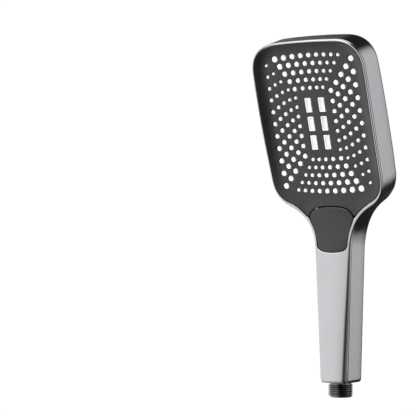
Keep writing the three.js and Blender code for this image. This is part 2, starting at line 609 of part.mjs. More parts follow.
function ratchetWheel() {
  const shape = new THREE.Shape();
  for (let i = 0; i < WHEEL.teeth; i++) {
    const start = (i / WHEEL.teeth) * Math.PI * 2;
    const end = ((i + 0.86) / WHEEL.teeth) * Math.PI * 2;
    shape[i ? "lineTo" : "moveTo"](WHEEL.root * Math.cos(start), WHEEL.root * Math.sin(start));
    shape.lineTo(WHEEL.tip * Math.cos(end), WHEEL.tip * Math.sin(end));
  }
  shape.holes.push(new THREE.Path().absarc(0, 0, DRUM.shaft + CLEARANCE, 0, Math.PI * 2));
  const width = WHEEL.right - WHEEL.left;
  const wheel = new THREE.ExtrudeGeometry(shape, { depth: width, bevelEnabled: false, curveSegments: 5 });
  return onDrumAxis(wheel.translate(0, 0, WHEEL.left));
}

function detentLeaf() {
  const over = DRUM.z + WHEEL.tip + 0.4;
  const blade = toSolid(box(WHEEL.left, WHEEL.right, -1, VALVE.back - 0.4, over, over + 0.5));
  const nose = toSolid(box(WHEEL.left, WHEEL.right, -1, 0.4, over - 0.3, over + 0.2));
  return join(blade, nose);
}

// ---------------------------------------------------------------- button
const BUTTON = { front: 0.1, back: 2, stem: -12.6, earInner: 10.4, earOuter: 13.4, earReach: 2.6, earTop: 2.2,
  boss: 1.9, bossEnd: -9.6 };
const PAWL = { left: -13.6, right: -11.6, front: -7.5, back: 1.4, low: 132.8, high: 135 };

function modeButton() {
  const buttonCrown = (v) => 0.5 + 0.7 * THREE.MathUtils.smoothstep(-v, 71, 90);
  const cover = slab(buttonOutline, (v) => BUTTON.front - rimRise(v), (v) => BUTTON.back - rimRise(v), buttonCrown);
  const { earInner, earOuter, earReach, earTop, stem } = BUTTON;
  const ears = [[-earOuter, -earInner], [earInner, earOuter]].map(([low, high]) =>
    toSolid(box(low, high, -14.1, PIVOT.y + earReach, PIVOT.z - earReach, PIVOT.z + earTop)));
  const post = toSolid(box(PAWL.left, PAWL.right, stem, PAWL.front - CLEARANCE, PAWL.low - 0.2, PAWL.high + 0.2));
  const springBoss = toSolid(rod(BUTTON.boss, point(0, stem, SPRING.z), point(0, BUTTON.bossEnd, SPRING.z), 10));
  return cut(join(cover, ...ears, post, springBoss), pinHole());
}

const SPRING = { z: 128, from: -10.9, to: -3.9, r: 2.9, wire: 0.32, turns: 4 };

class Coil extends THREE.Curve {
  getPoint(t) {
    const turn = t * SPRING.turns * Math.PI * 2;
    return point(SPRING.r * Math.cos(turn),
      THREE.MathUtils.lerp(SPRING.from + SPRING.wire, SPRING.to - SPRING.wire, t),
      SPRING.z + SPRING.r * Math.sin(turn));
  }
}

function buttonSpring() {
  const section = new THREE.Shape().absarc(0, 0, SPRING.wire, 0, Math.PI * 2);
  return new THREE.ExtrudeGeometry(section, {
    steps: SPRING.turns * 9, curveSegments: 3, extrudePath: new Coil(), bevelEnabled: false,
  });
}

// ---------------------------------------------------------------- handle water way and inlet
const CLIP = { z: 15.5, height: 1.3, inner: 7.8, outer: 10.4, groove: 7.4, gap: 0.6 };
const LOWER_RING_Z = 23;

function hoseConnector() {
  const profile = [[7.8, 0], [9.4, 0], [THREAD.crest, 0.9]];
  const crests = Math.floor((THREAD.length - 1.5) / THREAD.pitch);
  for (let i = 0; i < crests; i++) {
    const z = 1 + i * THREAD.pitch;
    profile.push([THREAD.crest, z + 0.3], [THREAD.root, z + THREAD.pitch / 2],
      [THREAD.crest, z + THREAD.pitch - 0.3]);
  }
  profile.push([THREAD.crest, THREAD.length], [SPIGOT.r + 0.7, THREAD.length], [SPIGOT.r + 0.7, CLIP.z - 0.15],
    [CLIP.groove, CLIP.z - 0.15], [CLIP.groove, CLIP.z + CLIP.height + 0.15],
    [SPIGOT.r, CLIP.z + CLIP.height + 0.15], [SPIGOT.r, LOWER_RING_Z], [SPIGOT.groove, LOWER_RING_Z],
    [SPIGOT.groove, LOWER_RING_Z + SPIGOT.grooveLength], [SPIGOT.r, LOWER_RING_Z + SPIGOT.grooveLength],
    [SPIGOT.r, 29], [SPIGOT.r - 1, 30.2], [6, 30.2], [6, 3.2], [7.8, 3.2]);
  return turned(profile, 16);
}

function tubeRing(z) {
  return new THREE.TorusGeometry(7.6, 0.45, 4, 12).translate(0, 0, z + SPIGOT.grooveLength / 2);
}

function retainingClip() {
  const shape = new THREE.Shape();
  shape.absarc(0, 0, CLIP.outer, CLIP.gap, Math.PI * 2 - CLIP.gap);
  shape.absarc(0, 0, CLIP.inner, Math.PI * 2 - CLIP.gap, CLIP.gap, true);
  const clip = new THREE.ExtrudeGeometry(shape, { depth: CLIP.height, bevelEnabled: false, curveSegments: 9 });
  return clip.translate(0, 0, CLIP.z);
}

function innerTube() {
  return turned([[TUBE.inner, TUBE.bottom], [TUBE.outer, TUBE.bottom], [TUBE.outer, TUBE.bottom + 14],
    [TUBE.outer - 0.5, TUBE.bottom + 15], [TUBE.outer - 0.5, TUBE.top - 13], [TUBE.outer, TUBE.top - 12],
    [TUBE.outer, TUBE.top], [TUBE.inner, TUBE.top]], 18);
}

const FILTER = { r: 7.4, hole: 1.4, ring: 4.3, holes: 6, low: 0.8, thick: 1 };
const RESTRICTOR = { low: 4.2, high: 7.2, outer: 5.6, inlet: 1.6, outlet: 2.6 };

function inletFilter() {
  const shape = new THREE.Shape().absarc(0, 0, FILTER.r, 0, Math.PI * 2);
  const spots = [vec(0, 0)];
  for (let i = 0; i < FILTER.holes; i++) {
    spots.push(vec(FILTER.ring, 0).rotateAround(vec(0, 0), (i / FILTER.holes) * Math.PI * 2));
  }
  for (const { x, y } of spots) shape.holes.push(new THREE.Path().absarc(x, y, FILTER.hole, 0, Math.PI * 2));
  const disc = new THREE.ExtrudeGeometry(shape, { depth: FILTER.thick, bevelEnabled: false, curveSegments: 5 });
  return disc.translate(0, 0, FILTER.low);
}

function flowRestrictor() {
  const { low, high, outer, inlet, outlet } = RESTRICTOR;
  return turned([[inlet, low], [outer, low], [outer, high], [outlet, high]], 14);
}

// ---------------------------------------------------------------- assembly
place("rear_shell", rearShell(), "plated");
place("front_frame", frontFrame(), "plated");
place("face_plate", facePlate(), "charcoal");
place("nozzle_mat", nozzleMat(), "silicone", head);
place("centre_jet_block", centreJetBlock(), "whiteResin", head);
place("flow_plate", flowPlate(), "inner", head);
place("chamber_gasket", chamberGasket(), "rubber", head);
place("water_chamber", waterChamber(), "inner", head);
chamberScrews.forEach((spot, i) => place(`chamber_screw_${i + 1}`, chamberScrew(spot), "steel", head));
place("riser_duct", riserDuct(), "inner");
place("valve_body", valveBody(), "inner");
place("valve_cap", valveCap(), "inner");
CAP_SCREW_Z.forEach((z, i) => place(`valve_cap_screw_${i + 1}`, capScrew(z), "steel"));
place("selector_drum", selectorDrum(), "black");
RING_X.forEach((x, i) => place(`drum_oring_${i + 1}`, drumRing(x), "rubber"));
place("ratchet_wheel", ratchetWheel(), "black");
place("detent_leaf", detentLeaf(), "steel");
place("pawl_slide", box(PAWL.left, PAWL.right, PAWL.front, PAWL.back, PAWL.low, PAWL.high), "black");
place("mode_button", modeButton(), "charcoal");
place("button_pin", rodX(PIVOT.r, -16.8, 16.8, PIVOT.y, PIVOT.z, 12), "steel");
place("button_spring", buttonSpring(), "steel");
place("inner_tube", innerTube(), "inner");
place("tube_oring_upper", tubeRing(UPPER_RING_Z), "rubber");
place("tube_oring_lower", tubeRing(LOWER_RING_Z), "rubber");
place("hose_connector", hoseConnector(), "black");
place("retaining_clip", retainingClip(), "steel");
place("inlet_filter", inletFilter(), "inner");
place("flow_restrictor", flowRestrictor(), "black");

export default model;
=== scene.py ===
"""Visual model of a handheld shower head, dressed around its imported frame.

Shapes are worked out in millimetres in the body's own bent frame, where x runs across, v runs
along the front from the middle of the spray face and depth runs into the body. Every mesh is
then placed in metres in the frame's own axes: +Z up the handle and -Y on the spray side.
"""
from __future__ import annotations

import logging
import math
from dataclasses import dataclass, field
from enum import Enum
from typing import Callable, Sequence

import bmesh
import bpy
import numpy as np
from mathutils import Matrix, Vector
from mathutils.geometry import delaunay_2d_cdt
from mathutils.kdtree import KDTree


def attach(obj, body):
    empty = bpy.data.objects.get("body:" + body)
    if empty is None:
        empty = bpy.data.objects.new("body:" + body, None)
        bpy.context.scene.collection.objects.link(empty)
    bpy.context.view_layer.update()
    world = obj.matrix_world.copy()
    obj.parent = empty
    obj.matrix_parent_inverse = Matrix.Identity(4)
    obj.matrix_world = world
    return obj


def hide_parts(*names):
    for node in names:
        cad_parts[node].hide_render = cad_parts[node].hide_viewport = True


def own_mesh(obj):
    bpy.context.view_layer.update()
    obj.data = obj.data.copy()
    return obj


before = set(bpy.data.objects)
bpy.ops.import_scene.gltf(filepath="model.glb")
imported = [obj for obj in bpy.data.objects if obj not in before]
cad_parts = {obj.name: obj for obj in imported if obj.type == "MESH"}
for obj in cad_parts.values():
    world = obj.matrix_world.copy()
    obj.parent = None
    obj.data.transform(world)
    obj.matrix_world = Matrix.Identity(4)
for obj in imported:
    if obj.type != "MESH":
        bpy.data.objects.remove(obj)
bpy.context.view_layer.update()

LOG = logging.getLogger("shower_head")
MM = 0.001
Colour = tuple[float, float, float]
Depth = Callable[[np.ndarray], np.ndarray]


class Body(Enum):
    """The bodies of the frame that move on their own."""

    ROOT = "root"
    BUTTON = "button"
    PAWL = "pawl"
    SELECTOR = "selector"


class Slot(Enum):
    """The record's material slots."""

    SHELL = "plated_shell"
    FRAME = "plated_frame"
    FACE = "charcoal_face"
    BUTTON = "charcoal_button"
    SILICONE = "white_silicone"
    JETS = "white_resin"
    INNER = "inner_resin"
    BLACK = "black_resin"
    CONNECTOR = "black_connector"
    SEAL = "seal_rubber"
    STEEL = "stainless"


# ------------------------------------------------------------------------------ finishes
class NodeSheet:
    """Adds and joins the nodes of one material."""

    def __init__(self, name: str) -> None:
        """Starts a material with a principled shader.

        Args:
            name: the material's name.
        """
        self.material = bpy.data.materials.new(name)
        self.material.use_nodes = True
        self.nodes = self.material.node_tree.nodes
        self.links = self.material.node_tree.links
        self.shader = self.nodes["Principled BSDF"]
        self.place = self.nodes.new("ShaderNodeTexCoord").outputs["Object"]

    def set(self, **values: object) -> None:
        """Sets the shader's own sockets; a name's underscores stand for spaces.

        Args:
            values: a value for each socket.
        """
        for name, value in values.items():
            self.shader.inputs[name.replace("_", " ")].default_value = value

    def stretched(self, scale: tuple[float, float, float]) -> bpy.types.NodeSocket:
        """Returns the object's coordinates scaled along each axis.

        Args:
            scale: the factor along X, Y and Z.
        """
        mapping = self.nodes.new("ShaderNodeMapping")
        mapping.inputs["Scale"].default_value = scale
        self.links.new(self.place, mapping.inputs["Vector"])
        return mapping.outputs["Vector"]

    def noise(self, scale: float, detail: float = 3.0, rough: float = 0.55,
              place: bpy.types.NodeSocket | None = None) -> bpy.types.NodeSocket:
        """Adds a noise texture.

        Args:
            scale: features per metre.
            detail: number of finer layers.
            rough: strength of the finer layers.
            place: the coordinates, or None for the object's own.

        Returns:
            The noise value's socket.
        """
        node = self.nodes.new("ShaderNodeTexNoise")
        node.inputs["Scale"].default_value = scale
        node.inputs["Detail"].default_value = detail
        node.inputs["Roughness"].default_value = rough
        self.links.new(place or self.place, node.inputs["Vector"])
        return node.outputs["Fac"]

    def cells(self, scale: float) -> bpy.types.NodeSocket:
        """Adds a cell texture and returns its distance socket.

        Args:
            scale: cells per metre.
        """
        node = self.nodes.new("ShaderNodeTexVoronoi")
        node.inputs["Scale"].default_value = scale
        self.links.new(self.place, node.inputs["Vector"])
        return node.outputs["Distance"]

    def spread(self, value: bpy.types.NodeSocket, low: float, high: float,
               from_low: float = 0.3, from_high: float = 0.7) -> bpy.types.NodeSocket:
        """Maps a value to a range.

        Args:
            value: the socket to map.
            low: result at from_low.
            high: result at from_high.
            from_low: start of the source range.
            from_high: end of the source range.

        Returns:
            The mapped value's socket.
        """
        node = self.nodes.new("ShaderNodeMapRange")
        limits = {"From Min": from_low, "From Max": from_high, "To Min": low, "To Max": high}
        for name, number in limits.items():
            node.inputs[name].default_value = number
        self.links.new(value, node.inputs["Value"])
        return node.outputs["Result"]

    def tint(self, value: bpy.types.NodeSocket, dark: Colour, light: Colour) -> None:
        """Drives the base colour between two tones.

        Args:
            value: the mixing value, 0 to 1.
            dark: the tone at 0.
            light: the tone at 1.
        """
        node = self.nodes.new("ShaderNodeMix")
        node.data_type = "RGBA"
        sockets = [s for s in node.inputs if s.name in "AB" and s.type == "RGBA"]
        for socket, tone in zip(sockets, (dark, light)):
            socket.default_value = (*tone, 1)
        self.links.new(value, node.inputs["Factor"])
        result = next(s for s in node.outputs if s.type == "RGBA")
        self.links.new(result, self.shader.inputs["Base Color"])

    def roughen(self, value: bpy.types.NodeSocket) -> None:
        """Drives the roughness by a socket."""
        self.links.new(value, self.shader.inputs["Roughness"])

    def bump(self, height: bpy.types.NodeSocket, depth: float, strength: float = 1.0) -> None:
        """Adds a bump under those there already.

        Args:
            height: the height's socket, 0 to 1.
            depth: the height in metres.
            strength: how strongly it shows.
        """
        node = self.nodes.new("ShaderNodeBump")
        node.inputs["Distance"].default_value = depth
        node.inputs["Strength"].default_value = strength
        self.links.new(height, node.inputs["Height"])
        socket = self.shader.inputs["Normal"]
        if socket.is_linked:
            self.links.new(socket.links[0].from_socket, node.inputs["Normal"])
        self.links.new(node.outputs["Normal"], socket)


@dataclass(frozen=True)
class PlatedPlastic:
    """Electroplated gunmetal: mirror gloss with faint waviness and wiped smears."""

    name: str
    colour: Colour
    gloss: tuple[float, float] = (0.14, 0.2)
    wave_depth: float = 0.000006

    def material(self) -> bpy.types.Material:
        """Returns the finish as a node material."""
        sheet = NodeSheet(self.name)
        sheet.set(Metallic=1.0)
        tone = sheet.noise(28, detail=2)
        dark = tuple(0.94 * part for part in self.colour)
        sheet.tint(tone, dark, self.colour)
        smear = sheet.noise(1.0, detail=4, place=sheet.stretched((90, 90, 35)))
        sheet.roughen(sheet.spread(smear, *self.gloss))
        sheet.bump(sheet.noise(160, detail=1), self.wave_depth)
        sheet.bump(sheet.noise(3200, detail=1), 0.0000004)
        return sheet.material


@dataclass(frozen=True)
class SatinPlastic:
    """Moulded plastic with a fine spark-eroded grain."""

    name: str
    colour: Colour
    gloss: tuple[float, float] = (0.34, 0.42)
    grain: float = 2600
    grain_depth: float = 0.000006
    specular: float = 0.45

    def material(self) -> bpy.types.Material:
        """Returns the finish as a node material."""
        sheet = NodeSheet(self.name)
        sheet.set(Specular_IOR_Level=self.specular)
        tone = sheet.noise(60, detail=5)
        light = tuple(1.15 * part for part in self.colour)
        sheet.tint(tone, self.colour, light)
        sheet.roughen(sheet.spread(sheet.noise(75, detail=4), *self.gloss))
        sheet.bump(sheet.cells(self.grain), self.grain_depth)
        sheet.bump(sheet.noise(260, detail=2), 0.000008)
        return sheet.material


@dataclass(frozen=True)
class Silicone:
    """Soft white silicone with a powdery skin and a little depth to it."""

    name: str
    colour: Colour

    def material(self) -> bpy.types.Material:
        """Returns the finish as a node material."""
        sheet = NodeSheet(self.name)
        sheet.set(Subsurface_Weight=0.15, Subsurface_Scale=0.0012, Specular_IOR_Level=0.35)
        dusty = tuple(0.93 * part for part in self.colour)
        sheet.tint(sheet.noise(900, detail=4), dusty, self.colour)
        sheet.roughen(sheet.spread(sheet.noise(500), 0.48, 0.62))
        sheet.bump(sheet.noise(4200, detail=2), 0.00001)
        return sheet.material


@dataclass(frozen=True)
class MouldedResin:
    """Plain engineering plastic with flow marks from the mould."""

    name: str
    colour: Colour
    gloss: tuple[float, float] = (0.42, 0.55)

    def material(self) -> bpy.types.Material:
        """Returns the finish as a node material."""
        sheet = NodeSheet(self.name)
        shade = tuple(0.9 * part for part in self.colour)
        flow = sheet.noise(1.0, detail=5, place=sheet.stretched((60, 60, 180)))
        sheet.tint(flow, shade, self.colour)
        sheet.roughen(sheet.spread(sheet.noise(240, detail=4), *self.gloss))
        sheet.bump(sheet.cells(1900), 0.000008)
        return sheet.material


@dataclass(frozen=True)
class Rubber:
    """Black moulded rubber with a faint bloom."""

    name: str
    colour: Colour

    def material(self) -> bpy.types.Material:
        """Returns the finish as a node material."""
        sheet = NodeSheet(self.name)
        sheet.set(Specular_IOR_Level=0.3)
        bloom = tuple(part + 0.012 for part in self.colour)
        sheet.tint(sheet.noise(420, detail=6, rough=0.7), self.colour, bloom)
        sheet.roughen(sheet.spread(sheet.noise(800), 0.6, 0.78))
        sheet.bump(sheet.noise(2600, detail=3), 0.000015)
        return sheet.material


@dataclass(frozen=True)
class DrawnSteel:
    """Stainless steel with the fine streaks of drawing and turning."""

    name: str
    colour: Colour
    streak: tuple[float, float, float] = (90, 2600, 2600)

    def material(self) -> bpy.types.Material:
        """Returns the finish as a node material."""
        sheet = NodeSheet(self.name)
        sheet.set(Metallic=1.0, Anisotropic=0.4)
        lines = sheet.noise(1.0, detail=3, place=sheet.stretched(self.streak))
        dull = tuple(0.85 * part for part in self.colour)
        sheet.tint(lines, dull, self.colour)
        sheet.roughen(sheet.spread(lines, 0.2, 0.34))
        sheet.bump(lines, 0.000004)
        return sheet.material


@dataclass(frozen=True)
class StudioPaper:
    """The pale paper of the studio floor."""

    name: str
    colour: Colour

    def material(self) -> bpy.types.Material:
        """Returns the finish as a node material."""
        sheet = NodeSheet(self.name)
        shade = tuple(0.985 * part for part in self.colour)
        sheet.set(Specular_IOR_Level=0.2, Roughness=0.8)
        sheet.tint(sheet.noise(9, detail=3), shade, self.colour)
        return sheet.material


FINISHES = {
    Slot.SHELL: PlatedPlastic("gunmetal_plating", (0.335, 0.335, 0.350)),
    Slot.FRAME: PlatedPlastic("light_gunmetal_plating", (0.350, 0.350, 0.362), gloss=(0.13, 0.18)),
    Slot.FACE: SatinPlastic("charcoal_face_grain", (0.0100, 0.0100, 0.0118)),
    Slot.BUTTON: SatinPlastic("charcoal_button_grain", (0.0085, 0.0085, 0.0095), gloss=(0.24, 0.3)),
    Slot.SILICONE: Silicone("white_silicone_skin", (0.95, 0.95, 0.95)),
    Slot.JETS: MouldedResin("white_jet_resin", (0.93, 0.93, 0.92)),
    Slot.INNER: MouldedResin("natural_acetal", (0.52, 0.54, 0.56)),
    Slot.BLACK: MouldedResin("black_acetal", (0.022, 0.022, 0.024)),
    Slot.CONNECTOR: PlatedPlastic("black_chrome", (0.130, 0.130, 0.136), gloss=(0.11, 0.16)),
    Slot.SEAL: Rubber("black_seal_rubber", (0.018, 0.018, 0.018)),
    Slot.STEEL: DrawnSteel("drawn_stainless", (0.58, 0.58, 0.57)),
}


class Wardrobe:
    """Makes each finish once and dresses pieces with it."""

    def __init__(self) -> None:
        """Starts with no material made."""
        self.made: dict[Slot, bpy.types.Material] = {}

    def material(self, slot: Slot) -> bpy.types.Material:
        """Returns the slot's material, made on first use."""
        if slot not in self.made:
            self.made[slot] = FINISHES[slot].material()
        return self.made[slot]

    def dress(self, piece: bpy.types.Object, slot: Slot, body: Body, *nodes: str) -> None:
        """Gives a new piece its finish, body, slot and the CAD nodes it stands for.

        Args:
            piece: the new piece.
            slot: its material slot.
            body: the body it moves with.
            nodes: the CAD nodes that it replaces.
        """
        piece.data.materials.clear()
        piece.data.materials.append(self.material(slot))
        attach(piece, body.value)
        if nodes:
            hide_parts(*nodes)
        LOG.info("%s: %d faces, on %s", piece.name, len(piece.data.polygons), body.value)

    def dress_node(self, name: str, slot: Slot) -> None:
        """Gives a carried-over CAD node its finish."""
        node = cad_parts[name]
        if not node.data.materials:
            node.data.materials.append(None)
        for index in range(len(node.material_slots)):
            node.material_slots[index].material = self.material(slot)
        LOG.info("%s: kept as built, dressed as %s", name, slot.value)


# ------------------------------------------------------------------------------ lines and loops
def smoothstep(value: np.ndarray | float, low: float, high: float) -> np.ndarray:
    """Returns 0 below low, 1 above high and a smooth ramp between them."""
    share = np.clip((np.asarray(value, float) - low) / (high - low), 0, 1)
    return share * share * (3 - 2 * share)


def bezier(start: Sequence[float], pull: Sequence[float], push: Sequence[float], end: Sequence[float],
           count: int = 60) -> np.ndarray:
    """Returns points along a cubic curve.

    Args:
        start: first point.
        pull: handle of the first point.
        push: handle of the last point.
        end: last point.
        count: number of steps.
    """
    t = np.linspace(0, 1, count + 1)[:, None]
    a, b, c, d = (np.array(point, float) for point in (start, pull, push, end))
    return a * (1 - t) ** 3 + 3 * b * t * (1 - t) ** 2 + 3 * c * t * t * (1 - t) + d * t ** 3


def chain(*parts: np.ndarray) -> np.ndarray:
    """Joins lines end to end, dropping the doubled points."""
    return np.vstack([parts[0], *(part[1:] for part in parts[1:])])


def even(line: np.ndarray, step: float) -> np.ndarray:
    """Returns the line with points spaced evenly along it.

    Args:
        line: points of an open line.
        step: wanted spacing.
    """
    run = np.concatenate([[0], np.cumsum(np.linalg.norm(np.diff(line, axis=0), axis=1))])
    at = np.linspace(0, run[-1], max(2, round(run[-1] / step)) + 1)
    return np.stack([np.interp(at, run, line[:, k]) for k in range(2)], axis=1)


def both_sides(half: np.ndarray) -> np.ndarray:
    """Closes a right half, which runs from the centre line to the centre line, into a loop."""
    return np.vstack([half, half[-2:0:-1] * (-1, 1)])


def outward(loop: np.ndarray) -> np.ndarray:
    """Returns the outward direction at each point of a loop that runs clockwise."""
    along = np.roll(loop, -1, axis=0) - np.roll(loop, 1, axis=0)
    along /= np.linalg.norm(along, axis=1)[:, None]
    return np.stack([-along[:, 1], along[:, 0]], axis=1)


def soften(loop: np.ndarray, passes: int) -> np.ndarray:
    """Rounds off corners by averaging each point with its neighbours."""
    for _ in range(passes):
        loop = 0.5 * loop + 0.25 * (np.roll(loop, 1, axis=0) + np.roll(loop, -1, axis=0))
    return loop


def circle(centre: Sequence[float], radius: float, count: int) -> np.ndarray:
    """Returns a clockwise circle of points."""
    turn = -np.arange(count) * 2 * math.pi / count
    return np.array(centre) + radius * np.stack([np.cos(turn), np.sin(turn)], axis=1)


def rounded_box(centre: Sequence[float], half: float, height: float, corner: float,
                steps: int = 4) -> np.ndarray:
    """Returns a clockwise rounded rectangle.

    Args:
        centre: its middle.
        half: half its width.
        height: half its height.
        corner: radius of the corners.
        steps: steps round each corner.
    """
    points = []
    for quarter, (sx, sv) in enumerate(((1, 1), (1, -1), (-1, -1), (-1, 1))):
        for k in range(steps + 1):
            turn = math.pi / 2 - (quarter + k / steps) * math.pi / 2
            points.append((sx * (half - corner) + corner * math.cos(turn),
                           sv * (height - corner) + corner * math.sin(turn)))
    return np.array(points) + np.array(centre)


class Nearness:
    """Distance from any point to a line."""

    def __init__(self, line: np.ndarray, closed: bool = True) -> None:
        """Samples the line closely.

        Args:
            line: its points.
            closed: whether the last point joins the first.
        """
        run = np.vstack([line, line[:1]]) if closed else line
        dense = even(run, 0.15)
        self.tree = KDTree(len(dense))
        for index, (x, v) in enumerate(dense):
            self.tree.insert((x, v, 0), index)
        self.tree.balance()

    def __call__(self, points: np.ndarray) -> np.ndarray:
        """Returns each point's distance to the line."""
        return np.array([self.tree.find((x, v, 0))[2] for x, v in points[:, :2]])


# ------------------------------------------------------------------------------ the body's form
@dataclass(frozen=True)
class BodyForm:
    """Driving sizes of the bent body, from the leaning head down to the upright handle."""

    tilt: float = math.radians(16.6)
    face_y: float = -36.4
    face_z: float = 228.1
    bend_radius: float = 110.0
    handle_front_y: float = -13.2
    handle_end_z: float = 12.4
    handle_end_half: float = 14.0
    handle_depth: float = 28.2
    head_depth: float = 31.0
    head_thinning: float = 0.045
    handle_edge: float = 5.0
    head_edge: float = 8.0
    foot_corner: float = 2.4
    rim_rise: tuple[float, float, float] = (3.4, -100.0, 15.0)
    rim_width: tuple[float, float] = (1.6, 2.9)

    @property
    def bend_start(self) -> float:
        """Where the flat head ends and the bend begins, along v."""
        corner = (self.face_y - self.handle_front_y) / math.sin(self.tilt)
        return corner + self.bend_radius * math.tan(self.tilt / 2)

    @property
    def bend_end(self) -> float:
        """Where the bend ends and the upright handle begins, along v."""
        return self.bend_start - self.bend_radius * self.tilt

    @property
    def bend_end_z(self) -> float:
        """Height of the bend's lower end."""
        tangent = self.bend_radius * math.tan(self.tilt / 2)
        return self.face_z + (self.bend_start - tangent) * math.cos(self.tilt) - tangent

    @property
    def end_v(self) -> float:
        """Where the foot of the handle lies along v."""
        return self.bend_end - (self.bend_end_z - self.handle_end_z)

    def place(self, points: np.ndarray) -> np.ndarray:
        """Bends points into the frame's axes.

        Args:
            points: rows of x, v and depth, in millimetres.

        Returns:
            Rows of X, Y and Z, in millimetres.
        """
        x, v, depth = points.T
        lean = np.clip((v - self.bend_end) / self.bend_radius, 0, self.tilt)
        past = v - (self.bend_end + lean * self.bend_radius)
        y = self.handle_front_y - self.bend_radius * (1 - np.cos(lean)) - past * np.sin(lean)
        z = self.bend_end_z + self.bend_radius * np.sin(lean) + past * np.cos(lean)
        return np.stack([x, y + depth * np.cos(lean), z + depth * np.sin(lean)], axis=1)

    def head_share(self, v: np.ndarray) -> np.ndarray:
        """Returns 0 on the handle, 1 on the head and a smooth ramp over the neck."""
        return smoothstep(v, -105, -58)

    def depth(self, v: np.ndarray) -> np.ndarray:
        """Returns the body's full depth at v."""
        head = self.head_depth - self.head_thinning * np.maximum(0, v + 30)
        share = self.head_share(v)
        return self.handle_depth * (1 - share) + head * share

    def back_edge(self, v: np.ndarray) -> np.ndarray:
        """Returns the rounding of the back edge at v."""
        share = self.head_share(v)
        return self.handle_edge * (1 - share) + self.head_edge * share

    def rise(self, v: np.ndarray) -> np.ndarray:
        """Returns how far the rim stands out at v."""
        height, low, high = self.rim_rise
        return height * smoothstep(v, low, high)

    def rim(self, v: np.ndarray) -> np.ndarray:
        """Returns the width of the rim round the face at v."""
        head, neck = self.rim_width
        return neck + (head - neck) * smoothstep(v, -76, -52)

    def half_outline(self) -> np.ndarray:
        """Returns the right half of the outline, from the top's middle to the foot's middle."""
        corner, end = self.foot_corner, self.end_v
        foot = rounded_box((0, end + 50), self.handle_end_half, 50, corner, 8)
        foot = foot[(foot[:, 0] > 0) & (foot[:, 1] < end + corner + 0.01)]
        return chain(
            bezier((0, 70.6), (10, 70.6), (20, 70.4), (29, 69.9)),
            bezier((29, 69.9), (44, 69.4), (53.6, 60.5), (54, 46)),
            bezier((54, 46), (54.9, 20), (54, -20), (53.4, -47)),
            bezier((53.4, -47), (53.2, -59.5), (48.2, -66), (40.2, -70.6)),
            bezier((40.2, -70.6), (26.4, -77.6), (17.9, -87.5), (17.5, -108)),
            np.array([(17.5, -108), foot[0]]),
            foot,
            np.array([foot[-1], (0, end)]))

    def outline(self, step: float = 1.1) -> np.ndarray:
        """Returns the whole outline as a clockwise loop."""
        return both_sides(even(self.half_outline(), step))

    def inset(self, loop: np.ndarray, side: np.ndarray | float,
              end: np.ndarray | float | None = None) -> np.ndarray:
        """Moves the outline inwards.

        Args:
            loop: the outline.
            side: distance inwards at the sides, a number or one for each point.
            end: distance inwards at the foot, or None for the same.

        Returns:
            The moved loop.
        """
        side = np.broadcast_to(np.asarray(side, float), len(loop))
        end = side if end is None else np.broadcast_to(np.asarray(end, float), len(loop))
        upright = smoothstep(-loop[:, 1], 104, 118)
        out = outward(loop)
        flat = np.stack([np.sign(loop[:, 0]), np.zeros(len(loop))], axis=1)
        way = out * (1 - upright[:, None]) + flat * upright[:, None]
        moved = loop - way * side[:, None]
        low = loop[:, 1] < self.end_v + 14
        reach = (loop[:, 1] - self.end_v) / 14
        half = self.handle_end_half + reach * 0.41
        moved[low, 0] = (loop[:, 0] * (half - side) / half)[low]
        moved[low, 1] = (loop[:, 1] + end * (1 - reach))[low]
        return moved


@dataclass(frozen=True)
class ButtonForm:
    """Outline of the mode button, right half, from its top's middle to its bottom's middle."""

    passes: int = 3

    def half_outline(self) -> np.ndarray:
        """Returns the right half of the outline."""
        return chain(
            bezier((0, -71.3), (13, -71.3), (19.5, -73.5), (21.3, -80)),
            bezier((21.3, -80), (19.2, -86.5), (15.6, -95), (14.3, -104)),
            bezier((14.3, -104), (13.8, -108), (9, -109.2), (0, -109.5)))

    def outline(self, step: float = 0.7) -> np.ndarray:
        """Returns the whole outline as a clockwise loop with slightly softened corners."""
        return soften(both_sides(even(self.half_outline(), step)), self.passes)

    def grown(self, gap: float, step: float = 0.7) -> np.ndarray:
        """Returns the outline moved outwards by a gap."""
        loop = self.outline(step)
        return loop + outward(loop) * gap


FORM = BodyForm()
BUTTON = ButtonForm()


# ------------------------------------------------------------------------------ skins
def enclosed(triangles: Sequence[Sequence[int]], fences: set[frozenset[int]]) -> list[Sequence[int]]:
    """Keeps the triangles that an odd number of fences lies around.

    Args:
        triangles: the triangles over the whole area.
        fences: the edges that bound it, as pairs of points.

    Returns:
        The triangles inside the area and outside its holes.
    """
    beside: dict[frozenset[int], list[int]] = {}
    for number, (a, b, c) in enumerate(triangles):
        for edge in (frozenset((a, b)), frozenset((b, c)), frozenset((c, a))):
            beside.setdefault(edge, []).append(number)
    inside: dict[int, bool] = {}
    waiting = []
    for edge, numbers in beside.items():
        if len(numbers) == 1 and numbers[0] not in inside:
            inside[numbers[0]] = edge in fences
            waiting.append(numbers[0])
    while waiting:
        number = waiting.pop()
        a, b, c = triangles[number]
        for edge in (frozenset((a, b)), frozenset((b, c)), frozenset((c, a))):
            for other in beside[edge]:
                if other not in inside:
                    inside[other] = inside[number] != (edge in fences)
                    waiting.append(other)
    return [triangle for number, triangle in enumerate(triangles) if inside.get(number)]


